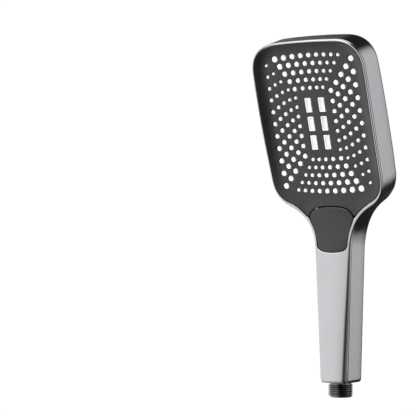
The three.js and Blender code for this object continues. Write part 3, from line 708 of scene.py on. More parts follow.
@dataclass
class Skin:
    """One mesh in the making: rings of points, the strips between them and filled ends."""

    name: str
    to_frame: Callable[[np.ndarray], np.ndarray] = FORM.place
    points: list[np.ndarray] = field(default_factory=list)
    faces: list[tuple[int, ...]] = field(default_factory=list)
    count: int = 0

    def ring(self, flat: np.ndarray, depth: np.ndarray | float) -> np.ndarray:
        """Adds a ring.

        Args:
            flat: its x and v.
            depth: its depth, a number or one for each point.

        Returns:
            The indices of its points.
        """
        depth = np.broadcast_to(np.asarray(depth, float), len(flat))
        return self.add(np.column_stack([flat, depth]))

    def add(self, rows: np.ndarray) -> np.ndarray:
        """Adds rows of three coordinates and returns their indices."""
        self.points.append(rows)
        indices = np.arange(self.count, self.count + len(rows))
        self.count += len(rows)
        return indices

    def strip(self, *rings: np.ndarray) -> None:
        """Joins rings of the same length, one after another, with four-sided faces."""
        for lower, upper in zip(rings, rings[1:]):
            a, b = np.roll(lower, -1), np.roll(upper, -1)
            self.faces.extend(zip(lower.tolist(), a.tolist(), b.tolist(), upper.tolist()))

    def cap(self, ring: np.ndarray) -> None:
        """Closes a small ring with a fan about its middle."""
        rows = np.vstack(self.points)[ring]
        centre = int(self.add(rows.mean(axis=0)[None])[0])
        self.faces.extend((int(a), int(b), centre) for a, b in zip(ring, np.roll(ring, -1)))

    def fill(self, rims: Sequence[np.ndarray], spacing: float, depth: Depth) -> None:
        """Fills the area between rims with triangles over evenly spread points.

        Args:
            rims: indices of the rings that bound the area.
            spacing: distance between the spread points.
            depth: gives the depth at rows of x and v.
        """
        table = np.vstack(self.points)
        rows = [table[rim][:, :2] for rim in rims]
        edges, start = [], 0
        for rim in rims:
            edges += [(start + i, start + (i + 1) % len(rim)) for i in range(len(rim))]
            start += len(rim)
        bound = np.vstack(rows)
        close = np.vstack([even(np.vstack([row, row[:1]]), 0.25 * spacing) for row in rows] + [bound])
        tree = KDTree(len(close))
        for index, (x, v) in enumerate(close):
            tree.insert((x, v, 0), index)
        tree.balance()
        low, high = bound.min(axis=0), bound.max(axis=0)
        lines = np.arange(low[1], high[1], spacing * 0.87)
        spread = [(x, v) for k, v in enumerate(lines)
                  for x in np.arange(low[0] + (k % 2) * spacing / 2, high[0], spacing)]
        inner = [point for point in spread if tree.find((*point, 0))[2] > 0.55 * spacing]
        middle = (low + high) / 2
        coords = [Vector((x - middle[0], v - middle[1])) for x, v in (*bound, *inner)]
        flat, _, triangles, origins, _, _ = delaunay_2d_cdt(coords, edges, [], 0, 1e-5)
        new_of = {old: new for new, olds in enumerate(origins) for old in olds}
        fences = {frozenset((new_of[a], new_of[b])) for a, b in edges}
        triangles = enclosed(triangles, fences)
        joined = np.concatenate([np.asarray(rim) for rim in rims])
        fresh = np.array([(p[0] + middle[0], p[1] + middle[1]) for p in flat])
        at = depth(fresh)
        placed = self.add(np.column_stack([fresh, at]))
        number = [int(joined[o[0]]) if o and o[0] < len(joined) else int(placed[i])
                  for i, o in enumerate(origins)]
        self.faces.extend(tuple(number[i] for i in face) for face in triangles)

    def box(self, low: Sequence[float], high: Sequence[float]) -> None:
        """Adds a closed box between two corners."""
        ends = (low, high)
        corners = np.array([[ends[(k >> axis) & 1][axis] for axis in range(3)] for k in range(8)], float)
        c = self.add(corners)
        for quad in ((0, 2, 3, 1), (4, 5, 7, 6), (0, 1, 5, 4), (2, 6, 7, 3), (0, 4, 6, 2), (1, 3, 7, 5)):
            self.faces.append(tuple(int(c[k]) for k in quad))

    def piece(self, crease: float = 38, bevel: float = 0.0) -> bpy.types.Object:
        """Makes the Blender object.

        Args:
            crease: angle in degrees past which an edge stays crisp.
            bevel: width in millimetres that crisp edges are rounded by, or 0 for none.

        Returns:
            The new object.
        """
        rows = self.to_frame(np.vstack(self.points)) * MM
        mesh = bpy.data.meshes.new(self.name)
        mesh.from_pydata(rows.tolist(), [], self.faces)
        form = bmesh.new()
        form.from_mesh(mesh)
        bmesh.ops.delete(form, geom=[v for v in form.verts if not v.link_faces], context="VERTS")
        bmesh.ops.remove_doubles(form, verts=form.verts, dist=1e-7)
        bmesh.ops.recalc_face_normals(form, faces=form.faces)
        form.to_mesh(mesh)
        form.free()
        piece = bpy.data.objects.new(self.name, mesh)
        bpy.context.scene.collection.objects.link(piece)
        if bevel:
            round_edges(piece, bevel)
        smooth(piece, crease)
        return piece


def smooth(piece: bpy.types.Object, crease: float) -> None:
    """Shades a piece smoothly except across sharp edges."""
    piece.data.polygons.foreach_set("use_smooth", [True] * len(piece.data.polygons))
    piece.data.set_sharp_from_angle(angle=math.radians(crease))
    piece.data.update()


def applied(piece: bpy.types.Object) -> None:
    """Turns the piece's modifiers into mesh."""
    bpy.context.view_layer.update()
    graph = bpy.context.evaluated_depsgraph_get()
    mesh = bpy.data.meshes.new_from_object(piece.evaluated_get(graph))
    piece.modifiers.clear()
    piece.data = mesh
    mesh.name = piece.name


def round_edges(piece: bpy.types.Object, width: float, segments: int = 3) -> None:
    """Rounds a piece's sharp edges.

    Args:
        piece: the piece.
        width: width of the rounding, in millimetres.
        segments: steps across it.
    """
    bevel = piece.modifiers.new("edges", "BEVEL")
    bevel.width = width * MM
    bevel.segments = segments
    bevel.limit_method = "ANGLE"
    bevel.angle_limit = math.radians(40)
    applied(piece)


def carve(piece: bpy.types.Object, tool: bpy.types.Object) -> None:
    """Cuts a tool out of a piece and throws the tool away."""
    cutter = piece.modifiers.new("cut", "BOOLEAN")
    cutter.operation = "DIFFERENCE"
    cutter.solver = "EXACT"
    cutter.object = tool
    applied(piece)
    bpy.data.objects.remove(tool)


def as_built(rows: np.ndarray) -> np.ndarray:
    """Leaves coordinates as they are, for shapes made in the frame's own axes."""
    return rows


def turned(name: str, profile: Sequence[tuple[float, float]], sides: int,
           centre: Sequence[float] = (0, 0, 0), axis: str = "Z") -> Skin:
    """Turns a closed profile about an axis.

    Args:
        name: name of the skin.
        profile: radius and height of each ring; the last joins the first, and a radius of 0 is on the axis.
        sides: steps round the axis.
        centre: where the axis passes.
        axis: the axis's direction, X, Y or Z.

    Returns:
        The skin, closed.
    """
    order = {"X": (2, 0, 1), "Y": (1, 2, 0), "Z": (0, 1, 2)}[axis]
    skin = Skin(name, as_built)
    turn = np.arange(sides) * 2 * math.pi / sides
    rings = []
    for radius, height in profile:
        rows = np.column_stack([radius * np.cos(turn), radius * np.sin(turn), np.full(sides, height)])
        rings.append(skin.add(rows[:, order] + np.array(centre)))
    if profile[0][0] > 0 and profile[-1][0] > 0:
        skin.strip(*rings, rings[0])
    else:
        skin.strip(*rings)
    return skin


def rolled_edge(skin: Skin, loop: np.ndarray, way: float, radius: float, front: Depth,
                steps: int = 5) -> list:
    """Adds the rings of a rounded edge, from its wall to the front surface.

    Args:
        skin: the skin that takes the rings.
        loop: the edge's outline, a clockwise loop.
        way: 1 where the material lies inside the loop, -1 where it lies outside.
        radius: radius of the rounding.
        front: depth of the front surface.
        steps: steps round it.

    Returns:
        The rings' indices, from the wall to the front.
    """
    out = outward(loop)
    rings = []
    for k in range(steps + 1):
        turn = k / steps * math.pi / 2
        moved = loop - out * (way * radius * (1 - math.cos(turn)))
        rings.append(skin.ring(moved, front(moved) + radius * (1 - math.sin(turn))))
    return rings


# ------------------------------------------------------------------------------ casing
@dataclass(frozen=True)
class Casing:
    """Plated rear shell and the front frame that widens into the handle's panel."""

    wall: float = 2.3
    frame_depth: float = 2.2
    seam: float = 0.3
    seam_roll: float = 0.45
    roll_at: tuple[float, ...] = (75, 95, 120, 165, 218)
    roll_across: tuple[float, ...] = (0.9, 1.3, 2.6, 4.1, 4.9)
    roll_deep: tuple[float, ...] = (0.9, 1.1, 1.9, 2.7, 3.6)
    mouth_roll: float = 0.5
    back_crown: tuple[float, float] = (1.0, 0.5)
    foot_edge: float = 2.6
    panel_crown: tuple[float, float] = (1.35, 1.9)
    panel_power: float = 2.2
    button_gap: float = 0.45
    bore: float = 9.0
    lip: tuple[float, float, float] = (2.6, 3.8, 6.8)

    def back_depth(self, wall: float) -> Depth:
        """Returns the depth of the back, `wall` inside the outer surface, gently crowned."""
        widths = self.half_widths()

        def depth(flat: np.ndarray) -> np.ndarray:
            across = np.clip(np.abs(flat[:, 0]) / np.interp(flat[:, 1], *widths), 0, 1)
            up = np.clip((flat[:, 1] - 5) / 65, 0, 1)
            side, top = self.back_crown
            return FORM.depth(flat[:, 1]) - wall - side * across ** 2.4 - top * up ** 2.4
        return depth

    def half_widths(self) -> tuple[np.ndarray, np.ndarray]:
        """Returns v, rising from the foot to the head's widest part, and the body's half width there."""
        half = even(FORM.half_outline(), 1.0)
        rows = half[(half[:, 1] < 45) & (half[:, 1] > FORM.end_v + FORM.foot_corner)]
        rows = rows[np.argsort(rows[:, 1])]
        return rows[:, 1], rows[:, 0]

    def rolled_in(self, v: np.ndarray, below: np.ndarray | float) -> np.ndarray:
        """Returns how far the rounded front edge lies inside the outline.

        Args:
            v: place along the body.
            below: depth under the front edge.
        """
        across, deep = (np.interp(-v, self.roll_at, sizes) for sizes in (self.roll_across, self.roll_deep))
        left = np.clip(1 - below / deep, 0, 1)
        return across * (1 - np.sqrt(1 - left * left))

    def shell_rings(self, skin: Skin, wall: float, steps: int) -> list:
        """Adds the shell's surface `wall` inside the outline, from front to back.

        Args:
            skin: the skin that takes the rings.
            wall: distance inside the outer surface.
            steps: steps round the back edge.

        Returns:
            The rings' indices.
        """
        loop = FORM.outline()
        out = self.back_depth(wall)
        edge = FORM.back_edge(loop[:, 1]) - wall * 0.6
        foot = max(self.foot_edge - wall * 0.6, 0.6)
        v = loop[:, 1]
        below = self.frame_depth + self.seam
        start = below - FORM.rise(v)
        rings = []
        if wall:
            rings.append(skin.ring(FORM.inset(loop, wall + self.rolled_in(v, below)), start))
        for k in range(0 if wall else 4):
            turn = k / 3 * math.pi / 2
            sunk = self.seam_roll * (1 - math.cos(turn))
            side = self.seam_roll * (1 - math.sin(turn)) + self.rolled_in(v, below + sunk)
            rings.append(skin.ring(FORM.inset(loop, side), start + sunk))
        low = start + self.seam_roll
        high = FORM.depth(v) - wall - edge - self.back_crown[0]
        for share in (0.03, 0.07, 0.12, 0.18, 0.25, 0.34, 0.66):
            at = low + (high - low) * share
            rings.append(skin.ring(FORM.inset(loop, wall + self.rolled_in(v, at + FORM.rise(v))), at))
        for k in range(steps + 1):
            turn = k / steps * math.pi / 2
            moved = FORM.inset(loop, wall + edge * (1 - math.cos(turn)), wall + foot * (1 - math.cos(turn)))
            rings.append(skin.ring(moved, out(moved) - edge * (1 - math.sin(turn))))
        return rings

    def rear_shell(self) -> bpy.types.Object:
        """Builds the back and side wall of the head, neck and handle."""
        skin = Skin("rear_shell_visual")
        outer = self.shell_rings(skin, 0, 10)
        inner = self.shell_rings(skin, self.wall, 5)
        skin.strip(*outer)
        skin.strip(*inner)
        skin.strip(outer[0], inner[0])
        skin.fill([outer[-1]], 2.6, self.back_depth(0))
        skin.fill([inner[-1]], 4.0, self.back_depth(self.wall))
        shell = skin.piece()
        hole = turned("hole", [(0, 5), (self.bore, 5), (self.bore, 19), (0, 19)], 72).piece()
        carve(shell, hole)
        smooth(shell, 38)
        return shell

    def mouth(self) -> np.ndarray:
        """Returns the frame's opening: the face's and the button's in one clockwise loop."""
        body = even(FORM.half_outline(), 0.5)
        full = both_sides(body)
        body = FORM.inset(full, FORM.rim(full[:, 1]))[:len(body)]
        grown = BUTTON.grown(self.button_gap, 0.35)
        button = grown[grown[:, 0] >= -1e-6]
        lower = button[button[:, 1] < -80]
        lower = lower[np.argsort(-lower[:, 1])]
        upper = body[body[:, 1] > -79.4]
        side = np.interp(-lower[:, 1], -body[body[:, 1] < -60][:, 1], body[body[:, 1] < -60][:, 0])
        lower[:, 0] = np.minimum(lower[:, 0], side)
        half = even(chain(upper, lower[lower[:, 1] < -80.4], np.array([(0.0, lower[-1, 1])])), 0.8)
        half[0, 0] = half[-1, 0] = 0
        return soften(both_sides(half), 4)

    def front_depth(self) -> Depth:
        """Returns the depth of the frame's front: flat at the rim, crowned on the panel."""
        widths = self.half_widths()

        def depth(flat: np.ndarray) -> np.ndarray:
            half = np.interp(flat[:, 1], *widths)
            share = np.clip(np.abs(flat[:, 0]) / half, 0, 1)
            upper, lower = self.panel_crown
            down = -flat[:, 1]
            crown = (upper + (lower - upper) * smoothstep(down, 120, 210)) * smoothstep(down, 66, 100)
            return -FORM.rise(flat[:, 1]) - crown * (1 - share ** self.panel_power)
        return depth

    def front_edge(self, skin: Skin, loop: np.ndarray, front: Depth, steps: int = 12) -> list:
        """Adds the rounded front edge, small round the head and broad towards the foot.

        Args:
            skin: the skin that takes the rings.
            loop: the outline.
            front: depth of the front surface.
            steps: steps round the edge.

        Returns:
            The rings' indices, from the side wall to the front.
        """
        v = loop[:, 1]
        across, deep = (np.interp(-v, self.roll_at, sizes) for sizes in (self.roll_across, self.roll_deep))
        low = np.arcsin(np.clip(1 - (self.frame_depth - self.seam_roll) / deep, 0, 1))
        rings = []
        for k in range(steps + 1):
            turn = low + (math.pi / 2 - low) * k / steps
            moved = FORM.inset(loop, across * (1 - np.cos(turn)), self.foot_edge * k / steps)
            rings.append(skin.ring(moved, front(moved) + deep * (1 - np.sin(turn))))
        return rings

    def front_frame(self) -> bpy.types.Object:
        """Builds the rim round the face with the handle's front panel."""
        skin = Skin("front_frame_visual")
        front = self.front_depth()
        outline = FORM.outline(0.9)
        behind = self.frame_depth - FORM.rise(outline[:, 1])
        seam_in = self.rolled_in(outline[:, 1], self.frame_depth - self.seam_roll)
        back = skin.ring(FORM.inset(outline, self.seam_roll + seam_in), behind)
        side = skin.ring(FORM.inset(outline, seam_in), behind - self.seam_roll)
        roll = self.front_edge(skin, outline, front)
        mouth = self.mouth()
        mouth_back = skin.ring(mouth, self.frame_depth - FORM.rise(mouth[:, 1]))
        mouth_roll = rolled_edge(skin, mouth, -1, self.mouth_roll, front, 4)
        skin.strip(back, side, *roll)
        skin.strip(mouth_back, *mouth_roll)
        skin.fill([roll[-1], mouth_roll[-1]], 1.5, front)
        skin.fill([back, mouth_back], 4.0, lambda flat: self.frame_depth - FORM.rise(flat[:, 1]))
        self.lip_band(skin, lambda v: v > -73)
        self.lip_band(skin, lambda v: v < -115)
        self.pin_ears(skin)
        return skin.piece()

    def lip_band(self, skin: Skin, keep: Callable[[np.ndarray], np.ndarray]) -> None:
        """Adds a stretch of the lip that fits inside the rear shell.

        Args:
            skin: the skin that takes it.
            keep: says for each v whether the stretch runs there.
        """
        loop = FORM.outline(1.6)
        outer, inner, depth = self.lip
        aside = self.rolled_in(loop[:, 1], self.frame_depth)
        lines = [FORM.inset(loop, outer + aside), FORM.inset(loop, inner + aside)]
        held = np.flatnonzero(keep(loop[:, 1]))
        jump = np.flatnonzero(np.diff(held) > 1)
        if len(jump):
            held = np.concatenate([held[jump[0] + 1:], held[:jump[0] + 1]])
        top = self.frame_depth - 0.2 - FORM.rise(loop[held, 1])
        rails = [skin.ring(line[held], at) for line, at in
                 ((lines[0], top), (lines[0], depth), (lines[1], depth), (lines[1], top))]
        for a, b in zip(rails, rails[1:] + rails[:1]):
            for k in range(len(held) - 1):
                skin.faces.append((int(a[k]), int(a[k + 1]), int(b[k + 1]), int(b[k])))
        for k in (0, -1):
            skin.faces.append(tuple(int(rail[k]) for rail in rails))

    def pin_ears(self, skin: Skin) -> None:
        """Adds the crossbar and the two ears that hold the button's pin."""
        skin.box((-33.8, -70.2, 2.5), (33.8, -66.2, 4.6))
        for side in (-1, 1):
            low, high = sorted((side * 14, side * 17))
            skin.box((low, -77, 2.4), (high, -70, 5.4))

    def build(self, wardrobe: Wardrobe) -> None:
        """Makes and dresses both pieces."""
        wardrobe.dress(self.rear_shell(), Slot.SHELL, Body.ROOT, "rear_shell")
        wardrobe.dress(self.front_frame(), Slot.FRAME, Body.ROOT, "front_frame")


# ------------------------------------------------------------------------------ spray face
@dataclass(frozen=True)
class Arm:
    """A line of nozzles on the outermost track, and how it changes from track to track."""

    count: int
    offset: float
    pitch: float
    start: float
    start_step: float
    end: float
    end_step: float
    big: float
    big_step: float
    small: float
    small_step: float
    crowd: float
    bow: float
    bow_at: float

    def nozzles(self, track: int) -> list[tuple[float, float, float]]:
        """Returns the track's nozzles as distance along, distance across and radius."""
        found = []
        count = self.count - track
        start, end = self.start + track * self.start_step, self.end + track * self.end_step
        big, small = self.big + track * self.big_step, self.small + track * self.small_step
        for i in range(count):
            share = i / (count - 1)
            eased = share + self.crowd * share * (1 - share)
            along = start + (end - start) * eased
            across = self.offset - track * self.pitch - self.bow * (along - self.bow_at) ** 2
            found.append((along, across, big + (small - big) * share))
        return found


@dataclass(frozen=True)
class SprayFace:
    """Charcoal plate with its 160 silicone nozzles and six ribbed centre jets."""

    tracks: int = 5
    row: Arm = Arm(9, 57.9, 6.83, -32.1, 3.75, 29.0, -4.7, 2.62, -0.19, 1.41, 0.0, 0.17, 0.0017, 1.5)
    column: Arm = Arm(11, 41.9, 6.02, 53.0, -6.4, -51.1, 7.15, 2.45, -0.10, 1.20, 0.02, 0.07, 0.0003, -10.0)
    gap: float = 0.4
    edge_depth: float = 0.3
    back: float = 2.1
    floor: float = 0.95
    dish_width: float = 11.0
    swell: float = 0.9
    swell_reach: float = 9.0
    hole_gap: float = 0.4
    hole_roll: float = 0.28
    edge_roll: float = 0.5
    mat_front: float = 2.4
    mat_back: float = 3.9
    tip_depth: float = 0.3
    jet_half: float = 2.8
    jet_height: float = 6.05
    jet_x: float = 6.4
    jet_pitch: float = 15.9
    jet_tip: float = 0.45

    def nozzles(self) -> list[tuple[float, float, float]]:
        """Returns every nozzle as x, v and radius."""
        found = []
        for track in range(self.tracks):
            spots = self.row.nozzles(track)
            spots += [(x, v, r) for v, x, r in self.column.nozzles(track)]
            found += spots + [(-x, -v, r) for x, v, r in spots]
        return found

    def jets(self) -> list[tuple[float, float]]:
        """Returns the middle of each centre jet."""
        return [(side * self.jet_x, row * self.jet_pitch) for side in (-1, 1) for row in (-1, 0, 1)]

    def border(self) -> np.ndarray:
        """Returns the plate's outline, which dips round the top of the button."""
        half = even(FORM.half_outline(), 0.5)
        loop = both_sides(half)
        edge = FORM.inset(loop, FORM.rim(loop[:, 1]) + self.gap)[:len(half)]
        edge = edge[edge[:, 1] > -79.2]
        grown = BUTTON.grown(self.gap + 0.2, 0.35)
        arc = grown[(grown[:, 0] >= -1e-6) & (grown[:, 1] > -79.4)]
        arc = arc[np.argsort(arc[:, 0])]
        right = edge[edge[:, 1] < -60]
        side = np.interp(-arc[:, 1], -right[:, 1], right[:, 0])
        arc = arc[arc[:, 0] < side - 0.25]
        edge = edge[edge[:, 1] > arc[-1, 1] + 0.1]
        half = even(np.vstack([edge, arc[::-1]]), 0.7)
        half[0, 0] = half[-1, 0] = 0
        return soften(both_sides(half), 2)

    def front_depth(self) -> Depth:
        """Returns the depth of the plate's front: dished from its edge and swollen at the button."""
        loop = FORM.outline()
        to_edge = Nearness(FORM.inset(loop, FORM.rim(loop[:, 1]) + self.gap))
        to_button = Nearness(BUTTON.outline())

        def depth(flat: np.ndarray) -> np.ndarray:
            share = np.clip(to_edge(flat) / self.dish_width, 0, 1)
            edge = self.edge_depth - FORM.rise(flat[:, 1])
            dished = (self.floor - edge) * (1 - (1 - share) ** 2)
            near = 1 - smoothstep(to_button(flat), 1.0, self.swell_reach)
            return edge + dished - np.minimum(self.swell, dished) * near
        return depth

    def face_plate(self) -> bpy.types.Object:
        """Builds the plate with its nozzle holes and jet windows."""
        skin = Skin("face_plate_visual")
        front = self.front_depth()
        fronts, backs = [], []
        edge = self.border()
        cuts = [(edge, 1, self.edge_roll, 4)]
        for x, v, r in self.nozzles():
            cuts.append((circle((x, v), r + self.hole_gap, 24), -1, self.hole_roll, 3))
        for spot in self.jets():
            window = rounded_box(spot, self.jet_half + 0.35, self.jet_height + 0.35, 0.5, 3)
            cuts.append((window, -1, self.hole_roll, 3))
        for loop, way, roll, steps in cuts:
            behind = self.back - (FORM.rise(loop[:, 1]) if way > 0 else 0)
            base = skin.ring(loop, behind)
            rings = rolled_edge(skin, loop, way, roll, front, steps)
            skin.strip(base, *rings)
            fronts.append(rings[-1])
            backs.append(base)
        skin.fill(fronts, 1.5, front)
        skin.fill(backs, 4.0, lambda flat: np.full(len(flat), self.back))
        return skin.piece()

    def nozzle_mat(self) -> bpy.types.Object:
        """Builds the mat with each nozzle's cone, rounded tip and outlet."""
        skin = Skin("nozzle_mat_visual")
        half, top, bottom = 47.6, 65.1, -62.6
        sheet = rounded_box((0, (top + bottom) / 2), half, (top - bottom) / 2, 19.6, 14)
        window = rounded_box((0, 0), 12.0, 25.5, 1.5)
        fronts, backs = [], []
        for loop in (sheet, window):
            rings = [skin.ring(loop, self.mat_back), skin.ring(loop, self.mat_front)]
            skin.strip(*rings)
            backs.append(rings[0])
            fronts.append(rings[1])
        for x, v, r in self.nozzles():
            fronts.append(self.nozzle(skin, x, v, r))
        flat = lambda at: (lambda rows: np.full(len(rows), at))
        skin.fill(fronts, 4.0, flat(self.mat_front))
        skin.fill(backs, 6.0, flat(self.mat_back))
        return skin.piece(crease=50)

    def nozzle(self, skin: Skin, x: float, v: float, r: float) -> np.ndarray:
        """Adds one nozzle and returns the ring where it leaves the mat.

        Args:
            skin: the mat's skin.
            x: its place across.
            v: its place along the face.
            r: its radius.
        """
        tip, foot = self.tip_depth, self.mat_front
        round_off = min(0.3, r * 0.18)
        profile = [(r + 0.35, foot), (r + 0.1, foot - 0.12), (r, foot - 0.4)]
        for k in range(4):
            turn = k / 3 * math.pi / 2
            back, out = round_off * (1 - math.cos(turn)), round_off * (1 - math.sin(turn))
            profile.append((r - 0.06 - back, tip + out))
        outlet = 0.12 + 0.06 * r
        profile += [(outlet + 0.12, tip + 0.01), (outlet, tip + 0.1), (outlet * 0.85, tip + 0.6)]
        rings = [skin.ring(circle((x, v), radius, 20), depth) for radius, depth in profile]
        skin.strip(*rings)
        skin.cap(rings[-1])
        return rings[0]

    def centre_jets(self) -> bpy.types.Object:
        """Builds the six jet bars, each with a recessed and ribbed window, on their base."""
        skin = Skin("centre_jets_visual")
        base = rounded_box((0, 0), 11.6, 25.1, 1.2)
        rings = [skin.ring(base, self.mat_back), skin.ring(base, self.mat_front)]
        skin.strip(*rings)
        fronts = [rings[1]]
        for x, v in self.jets():
            bar = rounded_box((x, v), self.jet_half, self.jet_height, 0.5, 3)
            foot = skin.ring(bar, self.mat_front)
            roll = rolled_edge(skin, bar, 1, 0.25, lambda rows: np.full(len(rows), self.jet_tip), 3)
            pocket = rounded_box((x, v), self.jet_half - 0.95, self.jet_height - 0.8, 0.35, 3)
            lip = rolled_edge(skin, pocket, -1, 0.15, lambda rows: np.full(len(rows), self.jet_tip), 2)
            floor = skin.ring(pocket, self.jet_tip + 0.7)
            skin.strip(foot, *roll, *lip[::-1], floor)
            skin.cap(floor)
            self.ribs(skin, x, v)
            fronts.append(foot)
        skin.fill(fronts, 3.0, lambda rows: np.full(len(rows), self.mat_front))
        skin.fill([rings[0]], 6.0, lambda rows: np.full(len(rows), self.mat_back))
        return skin.piece()

    def ribs(self, skin: Skin, x: float, v: float) -> None:
        """Adds the slim ribs across one jet's window."""
        count = 9
        reach = self.jet_height - 1.1
        for k in range(count):
            at = v - reach + 2 * reach * k / (count - 1)
            skin.box((x - self.jet_half + 0.9, at - 0.2, self.jet_tip + 0.25),
                     (x + self.jet_half - 0.9, at + 0.2, self.jet_tip + 0.8))

    def build(self, wardrobe: Wardrobe) -> None:
        """Makes and dresses the three pieces."""
        wardrobe.dress(self.face_plate(), Slot.FACE, Body.ROOT, "face_plate")
        wardrobe.dress(self.nozzle_mat(), Slot.SILICONE, Body.ROOT, "nozzle_mat")
        wardrobe.dress(self.centre_jets(), Slot.JETS, Body.ROOT, "centre_jet_block")


# ------------------------------------------------------------------------------ mode button
@dataclass(frozen=True)
class ModeButton:
    """Rocking button with its ears, post, return spring and pin."""

    front: float = -0.1
    back: float = 2.0
    roll: float = 0.7
    crown: float = 1.2
    scoop: float = 0.9
    pivot_y: float = -9.6
    pivot_z: float = 156.5
    spring_z: float = 128.0
    spring_from: float = -10.9
    spring_to: float = -3.9
    spring_r: float = 2.9
    wire: float = 0.32
    turns: int = 6

    def front_depth(self, flat: np.ndarray) -> np.ndarray:
        """Returns the depth of the button's crowned front."""
        half = np.interp(-flat[:, 1], (71.3, 74, 80, 95, 104, 109.5), (14, 20, 21.3, 16.2, 14.3, 12))
        share = np.clip(np.abs(flat[:, 0]) / half, 0, 1)
        scoop = self.scoop * smoothstep(-flat[:, 1], 70, 88) * (1 - smoothstep(-flat[:, 1], 90, 111))
        middle = self.crown * (1 - share ** 2.1) - scoop * (1 - share * share)
        return self.front - FORM.rise(flat[:, 1]) - middle

    def cover(self) -> bpy.types.Object:
        """Builds the button's cover with the ears, post and spring boss behind it."""
        skin = Skin("mode_button_visual")
        loop = BUTTON.outline(0.6)
        base = skin.ring(loop, self.back - FORM.rise(loop[:, 1]))
        rings = rolled_edge(skin, loop, 1, self.roll, self.front_depth, 6)
        skin.strip(base, *rings)
        skin.fill([rings[-1]], 1.3, self.front_depth)
        skin.fill([base], 4.0, lambda flat: self.back - FORM.rise(flat[:, 1]))
        cover = skin.piece()
        works = Skin("button_works", as_built)
        for low, high in ((-13.4, -10.4), (10.4, 13.4)):
            works.box((low, -14.1, self.pivot_z - 2.6), (high, self.pivot_y + 2.6, self.pivot_z + 2.2))
        works.box((-13.6, -12.6, 132.6), (-11.6, -7.8, 135.2))
        join(cover, works.piece(bevel=0.3))
        boss = [(0, -12.6), (1.9, -12.6), (1.9, -9.9), (1.6, -9.6), (0, -9.6)]
        join(cover, turned("boss", boss, 32, (0, 0, self.spring_z), "Y").piece())
        smooth(cover, 38)
        return cover

    def spring(self) -> bpy.types.Object:
        """Builds the return spring as one round wire."""
        skin = Skin("button_spring_visual", as_built)
        steps, sides = self.turns * 28, 10
        rings = []
        for k in range(steps + 1):
            share = k / steps
            turn = share * self.turns * 2 * math.pi
            eased = share + 0.07 * math.sin(-2 * math.pi * share)
            y = self.spring_from + self.wire + (self.spring_to - self.spring_from - 2 * self.wire) * eased
            out = np.array([math.cos(turn), 0, math.sin(turn)])
            centre = np.array([0, y, self.spring_z]) + self.spring_r * out
            around = np.arange(sides) * 2 * math.pi / sides
            rings.append(skin.add(centre + self.wire * (np.cos(around)[:, None] * out
                                                        + np.sin(around)[:, None] * np.array([0, 1, 0]))))
        skin.strip(*rings)
        skin.cap(rings[0])
        skin.cap(rings[-1])
        return skin.piece(crease=60)

    def pin(self) -> bpy.types.Object:
        """Builds the pin with its chamfered ends."""
        profile = [(0, -16.8), (1.0, -16.8), (1.3, -16.5), (1.3, 16.5), (1.0, 16.8), (0, 16.8)]
        return turned("button_pin_visual", profile, 40, (0, self.pivot_y, self.pivot_z), "X").piece()

    def build(self, wardrobe: Wardrobe) -> None:
        """Makes and dresses the button, its spring and its pin."""
        wardrobe.dress(self.cover(), Slot.BUTTON, Body.BUTTON, "mode_button")
        spring = self.spring()
        wardrobe.dress(spring, Slot.STEEL, Body.ROOT, "button_spring")
        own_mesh(spring)
        wardrobe.dress(self.pin(), Slot.STEEL, Body.ROOT, "button_pin")


def join(piece: bpy.types.Object, other: bpy.types.Object) -> None:
    """Adds another object's mesh to a piece and throws the other away."""
    form = bmesh.new()
    form.from_mesh(piece.data)
    form.from_mesh(other.data)
    form.to_mesh(piece.data)
    form.free()
    bpy.data.objects.remove(other)


